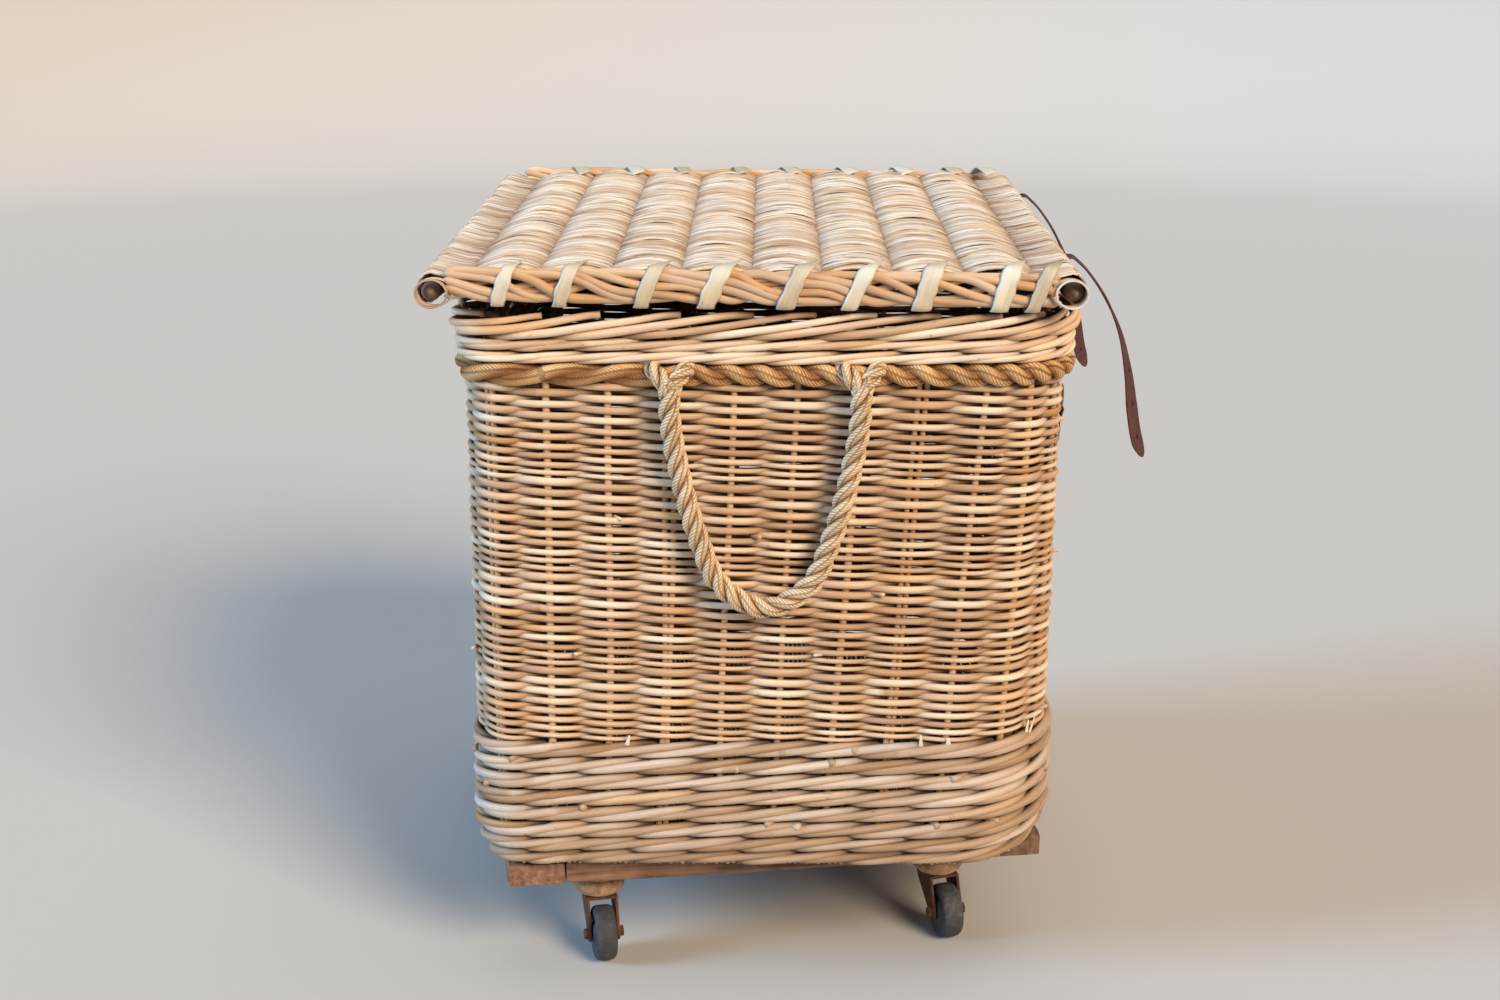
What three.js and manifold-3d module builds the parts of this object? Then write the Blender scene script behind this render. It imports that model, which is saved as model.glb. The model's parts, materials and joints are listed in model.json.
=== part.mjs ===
// Wicker storage trunk with a hinged lid, rope handles and leather straps, on a
// wooden dolly with four swivel casters. Millimetres, +Z up.
// +X is the front (the side that opens), -X the rear (the hinge side), -Y the left
// end and +Y the right end. The origin is on the floor, under the basket's centre.
import * as THREE from 'three';
import { mergeVertices } from 'three/addons/utils/BufferGeometryUtils.js';
import Module from 'manifold-3d';

const wasm = await Module();
wasm.setup();

// ---------------------------------------------------------------- dimensions

const gap = 0.3; // between pieces that touch

// basket walls, in plan at the fine weave
const bodyWidth = 580; // front to rear (X)
const bodyLength = 682; // end to end (Y)
const wallThickness = 14;
const rearCornerRadius = 50;
const frontCornerRadiusTop = 66;
const frontCornerRadiusFoot = 118;
const baseThickness = 12;

// basket bands, stacked from the foot up
const footHeight = 142.4;
const footRows = 8;
const footProud = 5;
const weaveHeight = 362;
const weaveCourses = 4;
const weaveGroove = 1.2; // depth of the dip between two courses
const ropeBandHeight = 20.4;
const ropeBandProud = 6;
const upperWaleHeight = 24;
const upperWaleRows = 2;
const upperWaleProud = 9;
const borderHeight = 25.7;
const borderProud = 15;
const rowRelief = 3; // how far a thick row stands out past the dip beside it
const cornerPostDiameter = 16;

// lid
const lidEndOverhang = 19; // past the basket's left and right ends
const lidFrontOverhang = 12.5; // past the basket's front
const lidRearOverhang = 32; // past the basket's rear
const lidThickness = 41.7;
const lidSlabThickness = 9.2; // the flat underside below the humps
const lidHumps = 10;
const lidHumpRise = 7;
const lidStickDiameter = 20;
const lidEndBarDepth = 13.5;
const lidEdgeWrapThickness = 6.5;

// rear hinge straps
const hingeLeafWidth = 26;
const hingeLeafThickness = 3;
const hingeLeafFromEnd = 151; // from the basket's end to the leaf's middle
const hingeBodyLeafHeight = 58;
const hingeLidLeafHeight = 22;

// front straps and buckles
const strapWidth = 20;
const strapThickness = 2.6;
const strapFromEnd = 131; // from the basket's end to the strap's middle
const buckleDrop = 41; // from the top of the fine weave to the buckle's centre
const buckleBar = 4;
const buckleInnerHeight = 17;
const buckleThickness = 3;
const prongWidth = 2.6;
const chapeLength = 58;
const chapeThickness = 2.6;

// rope handles
const ropeDiameter = 21;
const handleHalfSpread = 90;
const handleDrop = 227;

// dolly
const dollyNarrower = 22; // than the basket, front to rear
const dollyLength = 540;
const dollyTurn = THREE.MathUtils.degToRad(8.6);
const dollyOffsetX = -26;
const dollyOffsetY = -17;
const boardThickness = 24;
const runnerWidth = 60;
const crossBoardWidth = 112;
const middleBoardWidth = 90;

// casters
const casterInsetSide = 97; // swivel axis from the dolly's side
const casterInsetEnd = 60; // swivel axis from the dolly's end
const plateSize = 62;
const plateThickness = 2.6;
const raceRadius = 23;
const raceHeight = 15;
const forkPlate = 3;
const forkCrownRadius = 20;
const forkCrownHeight = 13;
const wheelRadius = 29;
const wheelWidth = 24;
const wheelSideClearance = 1.5;
const wheelTopClearance = 4;
const forkBridge = 8.64; // between the wheel's slot and the fork's crown
const wheelFacets = 32;
const casterTrail = 28;
const axleRadius = 3.5;
const axleRunningClearance = 0.5;
const axleHeadRadius = 6.5;
const axleHeadLength = 4;
// how far each fork is turned from the straight-back position, anticlockwise
const swivelRest = { frontLeft: 17, rearLeft: 13, frontRight: -24, rearRight: 38 };

// ------------------------------------------------------------ derived levels

const axleZ = wheelRadius * Math.cos(Math.PI / wheelFacets);
const slotTop = axleZ + wheelRadius + wheelTopClearance;
const crownBottom = slotTop + forkBridge;
const crownTop = crownBottom + forkCrownHeight;
const raceBottom = crownTop + gap;
const raceTop = raceBottom + raceHeight;
const plateBottom = raceTop + gap;
const plateTop = plateBottom + plateThickness;
const casterHeight = plateTop + gap; // floor to the underside of the dolly
const dollyTop = casterHeight + boardThickness;
const basketBottom = dollyTop + gap;
const footTop = basketBottom + footHeight;
const weaveBottom = footTop + gap;
const weaveTop = weaveBottom + weaveHeight;
const ropeBandBottom = weaveTop + gap;
const ropeBandTop = ropeBandBottom + ropeBandHeight;
const upperWaleBottom = ropeBandTop + gap;
const upperWaleTop = upperWaleBottom + upperWaleHeight;
const borderBottom = upperWaleTop + gap;
const borderTop = borderBottom + borderHeight;
const lidBottom = borderTop + gap;
const lidTop = lidBottom + lidThickness;
const halfWidth = bodyWidth / 2;
const halfLength = bodyLength / 2;
const dollyWidth = bodyWidth - dollyNarrower;
const lidHalfLength = halfLength + lidEndOverhang;
const lidFrontEdge = halfWidth + lidFrontOverhang;
const lidRearEdge = halfWidth + lidRearOverhang;
const buckleHeight = weaveTop - buckleDrop;

// ----------------------------------------------------------------- materials

function material(color, roughness, metalness = 0) {
  return () => new THREE.MeshStandardMaterial({ color, roughness, metalness });
}

const willow = material(0xc9a983, 0.72);
const paleWillow = material(0xd8c7b0, 0.7);
const sisal = material(0xb98c55, 0.9);
const manila = material(0xc8a36f, 0.9);
const darkLeather = material(0x4a2620, 0.55);
const agedBoard = material(0x4d3a2c, 0.8);
const barkStick = material(0x6b5444, 0.8);
const rustySteel = material(0x5b4234, 0.6, 0.7);
const darkRubber = material(0x3a3a3c, 0.75);
const brass = material(0x8f7440, 0.4, 0.9);

// ------------------------------------------------------------------- helpers

const trunk = new THREE.Group();

function addPart(parent, name, geometry, newMaterial) {
  const mesh = new THREE.Mesh(geometry, newMaterial());
  mesh.name = name;
  parent.add(mesh);
  return mesh;
}

function toSolid(geometry) {
  const bare = geometry.clone();
  bare.deleteAttribute('normal');
  bare.deleteAttribute('uv');
  const merged = mergeVertices(bare, 1e-4);
  const vertProperties = new Float32Array(merged.attributes.position.array);
  const triVerts = new Uint32Array(merged.index.array);
  return new wasm.Manifold(new wasm.Mesh({ numProp: 3, vertProperties, triVerts }));
}

function toGeometry(solid) {
  const mesh = solid.getMesh();
  const geometry = new THREE.BufferGeometry();
  const positions = new Float32Array(mesh.vertProperties);
  geometry.setAttribute('position', new THREE.BufferAttribute(positions, 3));
  geometry.setIndex(new THREE.BufferAttribute(new Uint32Array(mesh.triVerts), 1));
  geometry.computeVertexNormals();
  return geometry;
}

function block(x0, x1, y0, y1, z0, z1) {
  const geometry = new THREE.BoxGeometry(x1 - x0, y1 - y0, z1 - z0);
  return geometry.translate((x0 + x1) / 2, (y0 + y1) / 2, (z0 + z1) / 2);
}

// A shape drawn in (x, z), extruded along Y between y0 and y1.
function extrudeAlongY(shape, y0, y1, curveSegments = 6) {
  const depth = y1 - y0;
  const geometry = new THREE.ExtrudeGeometry(shape, { depth, bevelEnabled: false, curveSegments });
  return geometry.rotateX(Math.PI / 2).translate(0, y1, 0);
}

// A shape drawn in (y, z), extruded along X between x0 and x1.
function extrudeAlongX(shape, x0, x1, curveSegments = 6) {
  const depth = x1 - x0;
  const geometry = new THREE.ExtrudeGeometry(shape, { depth, bevelEnabled: false, curveSegments });
  const turn = new THREE.Matrix4().makeBasis(
    new THREE.Vector3(0, 1, 0),
    new THREE.Vector3(0, 0, 1),
    new THREE.Vector3(1, 0, 0),
  );
  return geometry.applyMatrix4(turn).translate(x0, 0, 0);
}

function extrudeAlongZ(shape, z0, z1, curveSegments = 6) {
  const depth = z1 - z0;
  const geometry = new THREE.ExtrudeGeometry(shape, { depth, bevelEnabled: false, curveSegments });
  return geometry.translate(0, 0, z0);
}

function polygon(points) {
  return new THREE.Shape(points.map(([a, b]) => new THREE.Vector2(a, b)));
}

// A profile of [radius, height] points turned about the Z axis.
function turned(profile, segments) {
  const points = profile.map(([radius, height]) => new THREE.Vector2(radius, height));
  return new THREE.LatheGeometry(points, segments).rotateX(Math.PI / 2);
}

// --------------------------------------------------------------- basket plan

// The front corners are rounder at the foot than at the rim.
function frontCornerRadius(z) {
  const share = (z - basketBottom) / (borderTop - basketBottom);
  return THREE.MathUtils.lerp(frontCornerRadiusFoot, frontCornerRadiusTop, share);
}

// The basket's outline at height z, grown outwards by offset, anticlockwise.
function outline(z, offset, cornerSteps) {
  const front = frontCornerRadius(z);
  const corners = [
    { sx: 1, sy: 1, radius: front, start: 0 },
    { sx: -1, sy: 1, radius: rearCornerRadius, start: 90 },
    { sx: -1, sy: -1, radius: rearCornerRadius, start: 180 },
    { sx: 1, sy: -1, radius: front, start: 270 },
  ];
  const points = [];
  for (const { sx, sy, radius, start } of corners) {
    const centreX = sx * (halfWidth - radius);
    const centreY = sy * (halfLength - radius);
    for (let step = 0; step <= cornerSteps; step += 1) {
      const angle = THREE.MathUtils.degToRad(start + (90 * step) / cornerSteps);
      const reach = radius + offset;
      points.push([centreX + reach * Math.cos(angle), centreY + reach * Math.sin(angle)]);
    }
  }
  return points;
}

// A closed band round the basket from a profile of [offset, z] points, which runs
// up the outside and down the inside.
function band(profile, cornerSteps = 5) {
  const rings = profile.map(([offset, z]) => outline(z, offset, cornerSteps));
  const count = rings[0].length;
  const positions = [];
  rings.forEach((ring, level) => {
    for (const [x, y] of ring) positions.push(x, y, profile[level][1]);
  });
  const indices = [];
  for (let level = 0; level < rings.length; level += 1) {
    const above = (level + 1) % rings.length;
    for (let station = 0; station < count; station += 1) {
      const next = (station + 1) % count;
      const a = level * count + station;
      const b = level * count + next;
      const c = above * count + next;
      const d = above * count + station;
      indices.push(a, b, c, a, c, d);
    }
  }
  const geometry = new THREE.BufferGeometry();
  geometry.setAttribute('position', new THREE.Float32BufferAttribute(positions, 3));
  geometry.setIndex(indices);
  geometry.computeVertexNormals();
  return geometry;
}

// The outside of a band made of thick rows, one bulge to each row.
function rowProfile(z0, z1, rows, proud) {
  const pitch = (z1 - z0) / rows;
  const profile = [];
  for (let row = 0; row < rows; row += 1) {
    const bottom = z0 + row * pitch;
    profile.push([proud - rowRelief, bottom]);
    profile.push([proud, bottom + pitch * 0.3]);
    profile.push([proud, bottom + pitch * 0.7]);
  }
  profile.push([proud - rowRelief, z1]);
  profile.push([-wallThickness, z1], [-wallThickness, z0]);
  return profile;
}

// ------------------------------------------------------------------- basket

function addBasket() {
  const floorOutline = outline(basketBottom, -wallThickness - gap, 5);
  const floor = extrudeAlongZ(polygon(floorOutline), basketBottom, basketBottom + baseThickness);
  addPart(trunk, 'basket_base', floor, willow);

  const foot = band(rowProfile(basketBottom, footTop, footRows, footProud));
  addPart(trunk, 'foot_wale', foot, paleWillow);

  const weave = [[0, weaveBottom]];
  const course = weaveHeight / weaveCourses;
  for (let dip = 1; dip < weaveCourses; dip += 1) {
    const z = weaveBottom + dip * course;
    weave.push([0, z - course * 0.12], [-weaveGroove, z], [0, z + course * 0.12]);
  }
  weave.push([0, weaveTop], [-wallThickness, weaveTop], [-wallThickness, weaveBottom]);
  addPart(trunk, 'side_weave', band(weave), willow);

  addPart(trunk, 'rope_band', band(rowProfile(ropeBandBottom, ropeBandTop, 1, ropeBandProud)), sisal);

  const wale = rowProfile(upperWaleBottom, upperWaleTop, upperWaleRows, upperWaleProud);
  addPart(trunk, 'upper_wale', band(wale), willow);

  const middle = (borderBottom + borderTop) / 2;
  const border = [
    [borderProud - rowRelief * 2, borderBottom],
    [borderProud, borderBottom + 6],
    [borderProud, middle + 5],
    [borderProud - rowRelief, borderTop - 2],
    [borderProud - rowRelief * 2, borderTop],
    [-wallThickness, borderTop],
    [-wallThickness, borderBottom],
  ];
  addPart(trunk, 'top_border', band(border), paleWillow);
}

// Each post stands in a corner, against the inside of the walls, from the woven
// floor to the rim.
function addCornerPosts() {
  const radius = cornerPostDiameter / 2;
  const bottom = basketBottom + baseThickness + gap;
  const top = borderTop - radius;
  const diagonal = Math.SQRT1_2;
  const corners = [
    { name: 'front_left', sx: 1, sy: -1 },
    { name: 'front_right', sx: 1, sy: 1 },
    { name: 'rear_left', sx: -1, sy: -1 },
    { name: 'rear_right', sx: -1, sy: 1 },
  ];
  const axisAt = (z, sx, sy) => {
    const cornerRadius = sx > 0 ? frontCornerRadius(z) : rearCornerRadius;
    const reach = (cornerRadius - wallThickness - radius - 1) * diagonal;
    const x = sx * (halfWidth - cornerRadius + reach);
    const y = sy * (halfLength - cornerRadius + reach);
    return new THREE.Vector3(x, y, z);
  };
  const section = new THREE.Shape().absarc(0, 0, radius, 0, Math.PI * 2);
  for (const { name, sx, sy } of corners) {
    const path = new THREE.LineCurve3(axisAt(bottom, sx, sy), axisAt(top, sx, sy));
    const settings = { steps: 1, curveSegments: 6, extrudePath: path };
    const post = new THREE.ExtrudeGeometry(section, settings);
    addPart(trunk, `corner_post_${name}`, post, barkStick);
  }
}

// --------------------------------------------------------------------- lid

const stickRadius = lidStickDiameter / 2;
const stickZ = lidBottom + lidSlabThickness + gap + stickRadius;
const rearStickX = -lidRearEdge + stickRadius;
const frontStickX = lidFrontEdge - lidEdgeWrapThickness - gap - stickRadius;
const panelRearX = rearStickX + stickRadius + gap * 4;
const panelFrontX = frontStickX - stickRadius - gap * 4;
const panelHalfLength = lidHalfLength - lidEndBarDepth - gap;

function addLid() {
  const shape = new THREE.Shape();
  const humpWidth = (panelFrontX - panelRearX) / lidHumps;
  const dipZ = lidTop - lidHumpRise;
  shape.moveTo(panelRearX, lidBottom);
  shape.lineTo(lidFrontEdge - lidEdgeWrapThickness - gap, lidBottom);
  shape.lineTo(lidFrontEdge - lidEdgeWrapThickness - gap, lidBottom + lidSlabThickness);
  shape.lineTo(panelFrontX, lidBottom + lidSlabThickness);
  shape.lineTo(panelFrontX, dipZ);
  for (let hump = 0; hump < lidHumps; hump += 1) {
    const x = panelFrontX - hump * humpWidth;
    shape.lineTo(x - humpWidth * 0.25, lidTop - lidHumpRise * 0.25);
    shape.lineTo(x - humpWidth * 0.5, lidTop);
    shape.lineTo(x - humpWidth * 0.75, lidTop - lidHumpRise * 0.25);
    shape.lineTo(x - humpWidth, dipZ);
  }
  shape.closePath();
  addPart(trunk, 'lid_weave', extrudeAlongY(shape, -panelHalfLength, panelHalfLength), willow);

  const section = (x) => new THREE.Shape().absarc(x, stickZ, stickRadius, 0, Math.PI * 2);
  for (const [name, x] of [['rear', rearStickX], ['front', frontStickX]]) {
    const stick = extrudeAlongY(section(x), -lidHalfLength, lidHalfLength, 8);
    addPart(trunk, `lid_stick_${name}`, stick, barkStick);
  }

  const barOuter = lidHalfLength;
  const barBottom = lidBottom + 6;
  const barSection = (sign) => polygon([
    [sign * (barOuter - lidEndBarDepth), barBottom],
    [sign * (barOuter - 3), barBottom],
    [sign * barOuter, barBottom + 6],
    [sign * barOuter, lidTop - 8],
    [sign * (barOuter - 5), lidTop - 0.5],
    [sign * (barOuter - lidEndBarDepth), lidTop - 0.5],
  ]);
  for (const [name, sign] of [['left', -1], ['right', 1]]) {
    const bar = extrudeAlongX(barSection(sign), panelRearX, panelFrontX);
    addPart(trunk, `lid_end_bar_${name}`, bar, paleWillow);
  }

  const wrap = block(
    lidFrontEdge - lidEdgeWrapThickness,
    lidFrontEdge,
    -panelHalfLength,
    panelHalfLength,
    lidBottom,
    stickZ + stickRadius,
  );
  addPart(trunk, 'lid_front_edge_wrap', wrap, paleWillow);
}

// ------------------------------------------------------------- rear hinges

function addHingeStraps() {
  const bodyLeafX = -halfWidth - borderProud - gap;
  const lidLeafX = -lidRearEdge - gap;
  for (const [name, sign] of [['left', -1], ['right', 1]]) {
    const y0 = sign * (halfLength - hingeLeafFromEnd) - hingeLeafWidth / 2;
    const y1 = y0 + hingeLeafWidth;
    const leafBottom = borderTop - 2 - hingeBodyLeafHeight;
    const bodyLeaf = block(bodyLeafX - hingeLeafThickness, bodyLeafX, y0, y1, leafBottom, borderTop - 2);
    addPart(trunk, `hinge_strap_${name}_body`, bodyLeaf, darkLeather);

    const lidLeafBottom = stickZ - stickRadius + 2;
    const lidLeafTop = lidLeafBottom + hingeLidLeafHeight;
    const lidLeaf = block(lidLeafX - hingeLeafThickness, lidLeafX, y0, y1, lidLeafBottom, lidLeafTop);
    addPart(trunk, `hinge_strap_${name}_lid`, lidLeaf, darkLeather);
  }
}

// ------------------------------------------------- front straps and buckles

// The strap's middle line in (x, z), from the lid's front edge to its tip. It bows
// outwards, as stiff old leather does.
function strapLine() {
  const rootX = lidFrontEdge + strapThickness;
  const rootZ = stickZ + 8;
  return new THREE.CatmullRomCurve3([
    new THREE.Vector3(rootX, 0, rootZ),
    new THREE.Vector3(rootX + 14, 0, rootZ - 14),
    new THREE.Vector3(rootX + 32, 0, rootZ - 40),
    new THREE.Vector3(rootX + 48, 0, rootZ - 75),
    new THREE.Vector3(rootX + 58, 0, rootZ - 116),
    new THREE.Vector3(rootX + 63, 0, rootZ - 150),
    new THREE.Vector3(rootX + 69, 0, rootZ - 182),
    new THREE.Vector3(rootX + 77, 0, rootZ - 203),
  ]);
}

function strapShape() {
  const line = strapLine();
  const steps = 12;
  const outer = [];
  const inner = [];
  for (let step = 0; step <= steps; step += 1) {
    const point = line.getPointAt(step / steps);
    const along = line.getTangentAt(step / steps);
    const acrossX = along.z * (strapThickness / 2);
    const acrossZ = -along.x * (strapThickness / 2);
    inner.push([point.x + acrossX, point.z + acrossZ]);
    outer.unshift([point.x - acrossX, point.z - acrossZ]);
  }
  return polygon([...inner, ...outer]);
}

function addStraps() {
  const shape = strapShape();
  const wallX = halfWidth + gap;
  const frameWidth = strapWidth + 2 + buckleBar * 2;
  const frameHeight = buckleInnerHeight + buckleBar * 2;
  const frameX = wallX + chapeThickness + gap;
  for (const [name, sign] of [['left', -1], ['right', 1]]) {
    const centreY = sign * (halfLength - strapFromEnd);
    const y0 = centreY - strapWidth / 2;
    const y1 = centreY + strapWidth / 2;
    addPart(trunk, `closing_strap_${name}`, extrudeAlongY(shape, y0, y1), darkLeather);

    const chapeTop = buckleHeight - frameHeight / 2 + buckleBar;
    const chape = block(wallX, wallX + chapeThickness, y0, y1, chapeTop - chapeLength, chapeTop);
    addPart(trunk, `buckle_chape_${name}`, chape, darkLeather);

    const low = buckleHeight - frameHeight / 2;
    const high = buckleHeight + frameHeight / 2;
    const frame = polygon([
      [centreY - frameWidth / 2, low],
      [centreY + frameWidth / 2, low],
      [centreY + frameWidth / 2, high],
      [centreY - frameWidth / 2, high],
    ]);
    const inside = polygon([
      [centreY - frameWidth / 2 + buckleBar, low + buckleBar],
      [centreY - frameWidth / 2 + buckleBar, high - buckleBar],
      [centreY + frameWidth / 2 - buckleBar, high - buckleBar],
      [centreY + frameWidth / 2 - buckleBar, low + buckleBar],
    ]);
    frame.holes.push(inside);
    const frameGeometry = extrudeAlongX(frame, frameX, frameX + buckleThickness);
    addPart(trunk, `buckle_frame_${name}`, frameGeometry, brass);

    const prongX = frameX + buckleThickness + gap;
    const prong = block(
      prongX,
      prongX + prongWidth,
      centreY - prongWidth / 2,
      centreY + prongWidth / 2,
      low,
      high + 1,
    );
    addPart(trunk, `buckle_prong_${name}`, prong, brass);
  }
}

// ------------------------------------------------------------ rope handles

// Each rope hangs as a deep loop from two places just under the upper bands.
function addRopeHandles() {
  const radius = ropeDiameter / 2;
  const topZ = (ropeBandBottom + ropeBandTop) / 2;
  const hangY = halfLength + borderProud + radius - 8;
  const section = new THREE.Shape().absarc(0, 0, radius, 0, Math.PI * 2);
  const half = [
    [1.0, 0],
    [0.99, 0.2],
    [0.87, 0.46],
    [0.7, 0.7],
    [0.47, 0.9],
    [0, 1.0],
  ];
  for (const [name, sign] of [['left', -1], ['right', 1]]) {
    const y = sign * hangY;
    const place = (side) => ([across, down]) =>
      new THREE.Vector3(side * across * handleHalfSpread, y, topZ - down * handleDrop);
    const points = [...half.map(place(-1)), ...half.slice(0, -1).reverse().map(place(1))];
    const path = new THREE.CatmullRomCurve3(points);
    const settings = { steps: 32, curveSegments: 5, extrudePath: path };
    const loop = new THREE.ExtrudeGeometry(section, settings);
    addPart(trunk, `rope_handle_${name}`, loop, manila);
  }
}

// ------------------------------------------------------------------- dolly

function addDolly() {
  const dolly = new THREE.Group();
  dolly.position.set(dollyOffsetX, dollyOffsetY, 0);
  dolly.rotation.z = dollyTurn;
  trunk.add(dolly);

  const sideX = dollyWidth / 2;
  const endY = dollyLength / 2;
  const board = (x0, x1, y0, y1) => block(x0, x1, y0, y1, casterHeight, dollyTop);
  const front = board(sideX - runnerWidth, sideX, -endY, endY);
  const rear = board(-sideX, -sideX + runnerWidth, -endY, endY);
  addPart(dolly, 'dolly_runner_front', front, agedBoard);
  addPart(dolly, 'dolly_runner_rear', rear, agedBoard);

  const boardX = sideX - runnerWidth - gap;
  const left = board(-boardX, boardX, -endY, -endY + crossBoardWidth);
  const right = board(-boardX, boardX, endY - crossBoardWidth, endY);
  const middle = board(-boardX, boardX, -middleBoardWidth / 2, middleBoardWidth / 2);
  addPart(dolly, 'dolly_cross_board_left', left, agedBoard);
  addPart(dolly, 'dolly_cross_board_right', right, agedBoard);
  addPart(dolly, 'dolly_cross_board_middle', middle, agedBoard);

  const casterX = sideX - casterInsetSide;
  const casterY = endY - casterInsetEnd;
  addCaster(dolly, 'front_left', casterX, -casterY, swivelRest.frontLeft);
  addCaster(dolly, 'rear_left', -casterX, -casterY, swivelRest.rearLeft);
  addCaster(dolly, 'front_right', casterX, casterY, swivelRest.frontRight);
  addCaster(dolly, 'rear_right', -casterX, casterY, swivelRest.rearRight);
}

// ----------------------------------------------------------------- casters

const forkInnerHalf = wheelWidth / 2 + wheelSideClearance;
const forkOuterHalf = forkInnerHalf + forkPlate;

// The fork: a round crown under the race, and two legs that lean back to the axle.
// The wheel trails towards -Y.
function forkGeometry() {
  const boss = 9;
  const sides = new THREE.Shape();
  sides.moveTo(-casterTrail - boss, axleZ);
  sides.absarc(-casterTrail, axleZ, boss, Math.PI, Math.PI * 2);
  sides.lineTo(forkCrownRadius * 0.9, slotTop);
  sides.lineTo(forkCrownRadius * 0.9, crownBottom + gap);
  sides.lineTo(-forkCrownRadius * 1.1, crownBottom + gap);
  sides.closePath();
  const legs = toSolid(extrudeAlongX(sides, -forkOuterHalf, forkOuterHalf));
  const slot = toSolid(block(-forkInnerHalf, forkInnerHalf, -90, 90, -10, slotTop));
  const crown = toSolid(turned([
    [0, crownBottom - 1],
    [forkCrownRadius * 0.8, crownBottom - 1],
    [forkCrownRadius, crownBottom + 4],
    [forkCrownRadius, crownTop - 3],
    [forkCrownRadius * 0.85, crownTop],
    [0, crownTop],
  ], 20));
  const boreRadius = axleRadius + gap;
  const bore = new THREE.CylinderGeometry(boreRadius, boreRadius, forkOuterHalf * 4, 16);
  bore.rotateZ(Math.PI / 2).translate(0, -casterTrail, axleZ);
  return toGeometry(legs.subtract(slot).add(crown).subtract(toSolid(bore)));
}

// A profile turned about the axle's line, which runs along X at the trail.
function aboutAxle(profile, segments) {
  const geometry = turned(profile, segments);
  // a facet, not an edge, faces down
  geometry.rotateZ(Math.PI / segments);
  return geometry.rotateY(Math.PI / 2).translate(0, -casterTrail, axleZ);
}

function wheelGeometry() {
  const half = wheelWidth / 2;
  const bore = axleRadius + axleRunningClearance;
  return aboutAxle([
    [bore, -half],
    [wheelRadius * 0.42, -half],
    [wheelRadius * 0.5, -half + 2],
    [wheelRadius * 0.78, -half + 1],
    [wheelRadius - 3, -half + 1],
    [wheelRadius, -half + 5],
    [wheelRadius, half - 5],
    [wheelRadius - 3, half - 1],
    [wheelRadius * 0.78, half - 1],
    [wheelRadius * 0.5, half - 2],
    [wheelRadius * 0.42, half],
    [bore, half],
    [bore, -half],
  ], wheelFacets);
}

function axleGeometry() {
  const inner = forkOuterHalf + gap;
  const outer = inner + axleHeadLength;
  return aboutAxle([
    [0, -outer],
    [axleHeadRadius, -outer],
    [axleHeadRadius, -inner],
    [axleRadius, -inner],
    [axleRadius, inner],
    [axleHeadRadius, inner],
    [axleHeadRadius, outer],
    [0, outer],
  ], 12);
}

function addCaster(dolly, place, x, y, restDegrees) {
  const caster = new THREE.Group();
  caster.position.set(x, y, 0);
  dolly.add(caster);

  const half = plateSize / 2;
  const plate = block(-half, half, -half, half, plateBottom, plateTop);
  addPart(caster, `caster_${place}_plate`, plate, rustySteel);

  const race = turned([
    [0, raceBottom],
    [raceRadius, raceBottom],
    [raceRadius, raceBottom + 5],
    [raceRadius * 0.72, raceTop - 3],
    [raceRadius * 0.72, raceTop],
    [0, raceTop],
  ], 20);
  addPart(caster, `caster_${place}_race`, race, rustySteel);

  const swivel = new THREE.Group();
  // the rest angles are counted from the basket's own length, not the dolly's
  swivel.rotation.z = THREE.MathUtils.degToRad(restDegrees) - dollyTurn;
  caster.add(swivel);
  addPart(swivel, `caster_${place}_fork`, forkGeometry(), rustySteel);
  addPart(swivel, `caster_${place}_axle`, axleGeometry(), rustySteel);
  addPart(swivel, `caster_${place}_wheel`, wheelGeometry(), darkRubber);
}

// ---------------------------------------------------------------- assembly

addBasket();
addCornerPosts();
addLid();
addHingeStraps();
addStraps();
addRopeHandles();
addDolly();

export default trunk;
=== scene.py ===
"""Looks of the wicker storage trunk: every rod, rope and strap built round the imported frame, in metres.

+X is the front, -Y the left end with its rope handle, and the trunk stands on the floor at z = 0.
"""
import json
import math

import bmesh
import bpy
import numpy as np
from mathutils import Matrix, Vector, noise


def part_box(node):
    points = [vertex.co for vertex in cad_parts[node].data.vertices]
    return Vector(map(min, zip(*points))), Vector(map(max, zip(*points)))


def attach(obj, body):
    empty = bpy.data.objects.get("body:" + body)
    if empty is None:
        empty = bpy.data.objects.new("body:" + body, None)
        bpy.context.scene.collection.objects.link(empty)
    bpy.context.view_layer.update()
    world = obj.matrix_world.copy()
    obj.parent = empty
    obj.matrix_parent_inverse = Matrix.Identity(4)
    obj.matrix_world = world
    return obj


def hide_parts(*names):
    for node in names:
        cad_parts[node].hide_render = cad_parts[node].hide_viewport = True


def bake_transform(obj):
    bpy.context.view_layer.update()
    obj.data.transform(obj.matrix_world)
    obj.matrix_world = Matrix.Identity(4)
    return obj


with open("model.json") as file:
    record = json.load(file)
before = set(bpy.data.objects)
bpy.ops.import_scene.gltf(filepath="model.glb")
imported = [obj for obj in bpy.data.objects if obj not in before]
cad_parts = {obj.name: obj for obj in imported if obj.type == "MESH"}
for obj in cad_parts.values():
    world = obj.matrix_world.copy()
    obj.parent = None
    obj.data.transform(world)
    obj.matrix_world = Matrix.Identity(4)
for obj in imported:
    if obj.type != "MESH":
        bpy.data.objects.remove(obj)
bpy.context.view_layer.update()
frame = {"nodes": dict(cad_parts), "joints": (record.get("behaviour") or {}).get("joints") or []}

# ------------------------------------------------------------------ sizes

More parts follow.
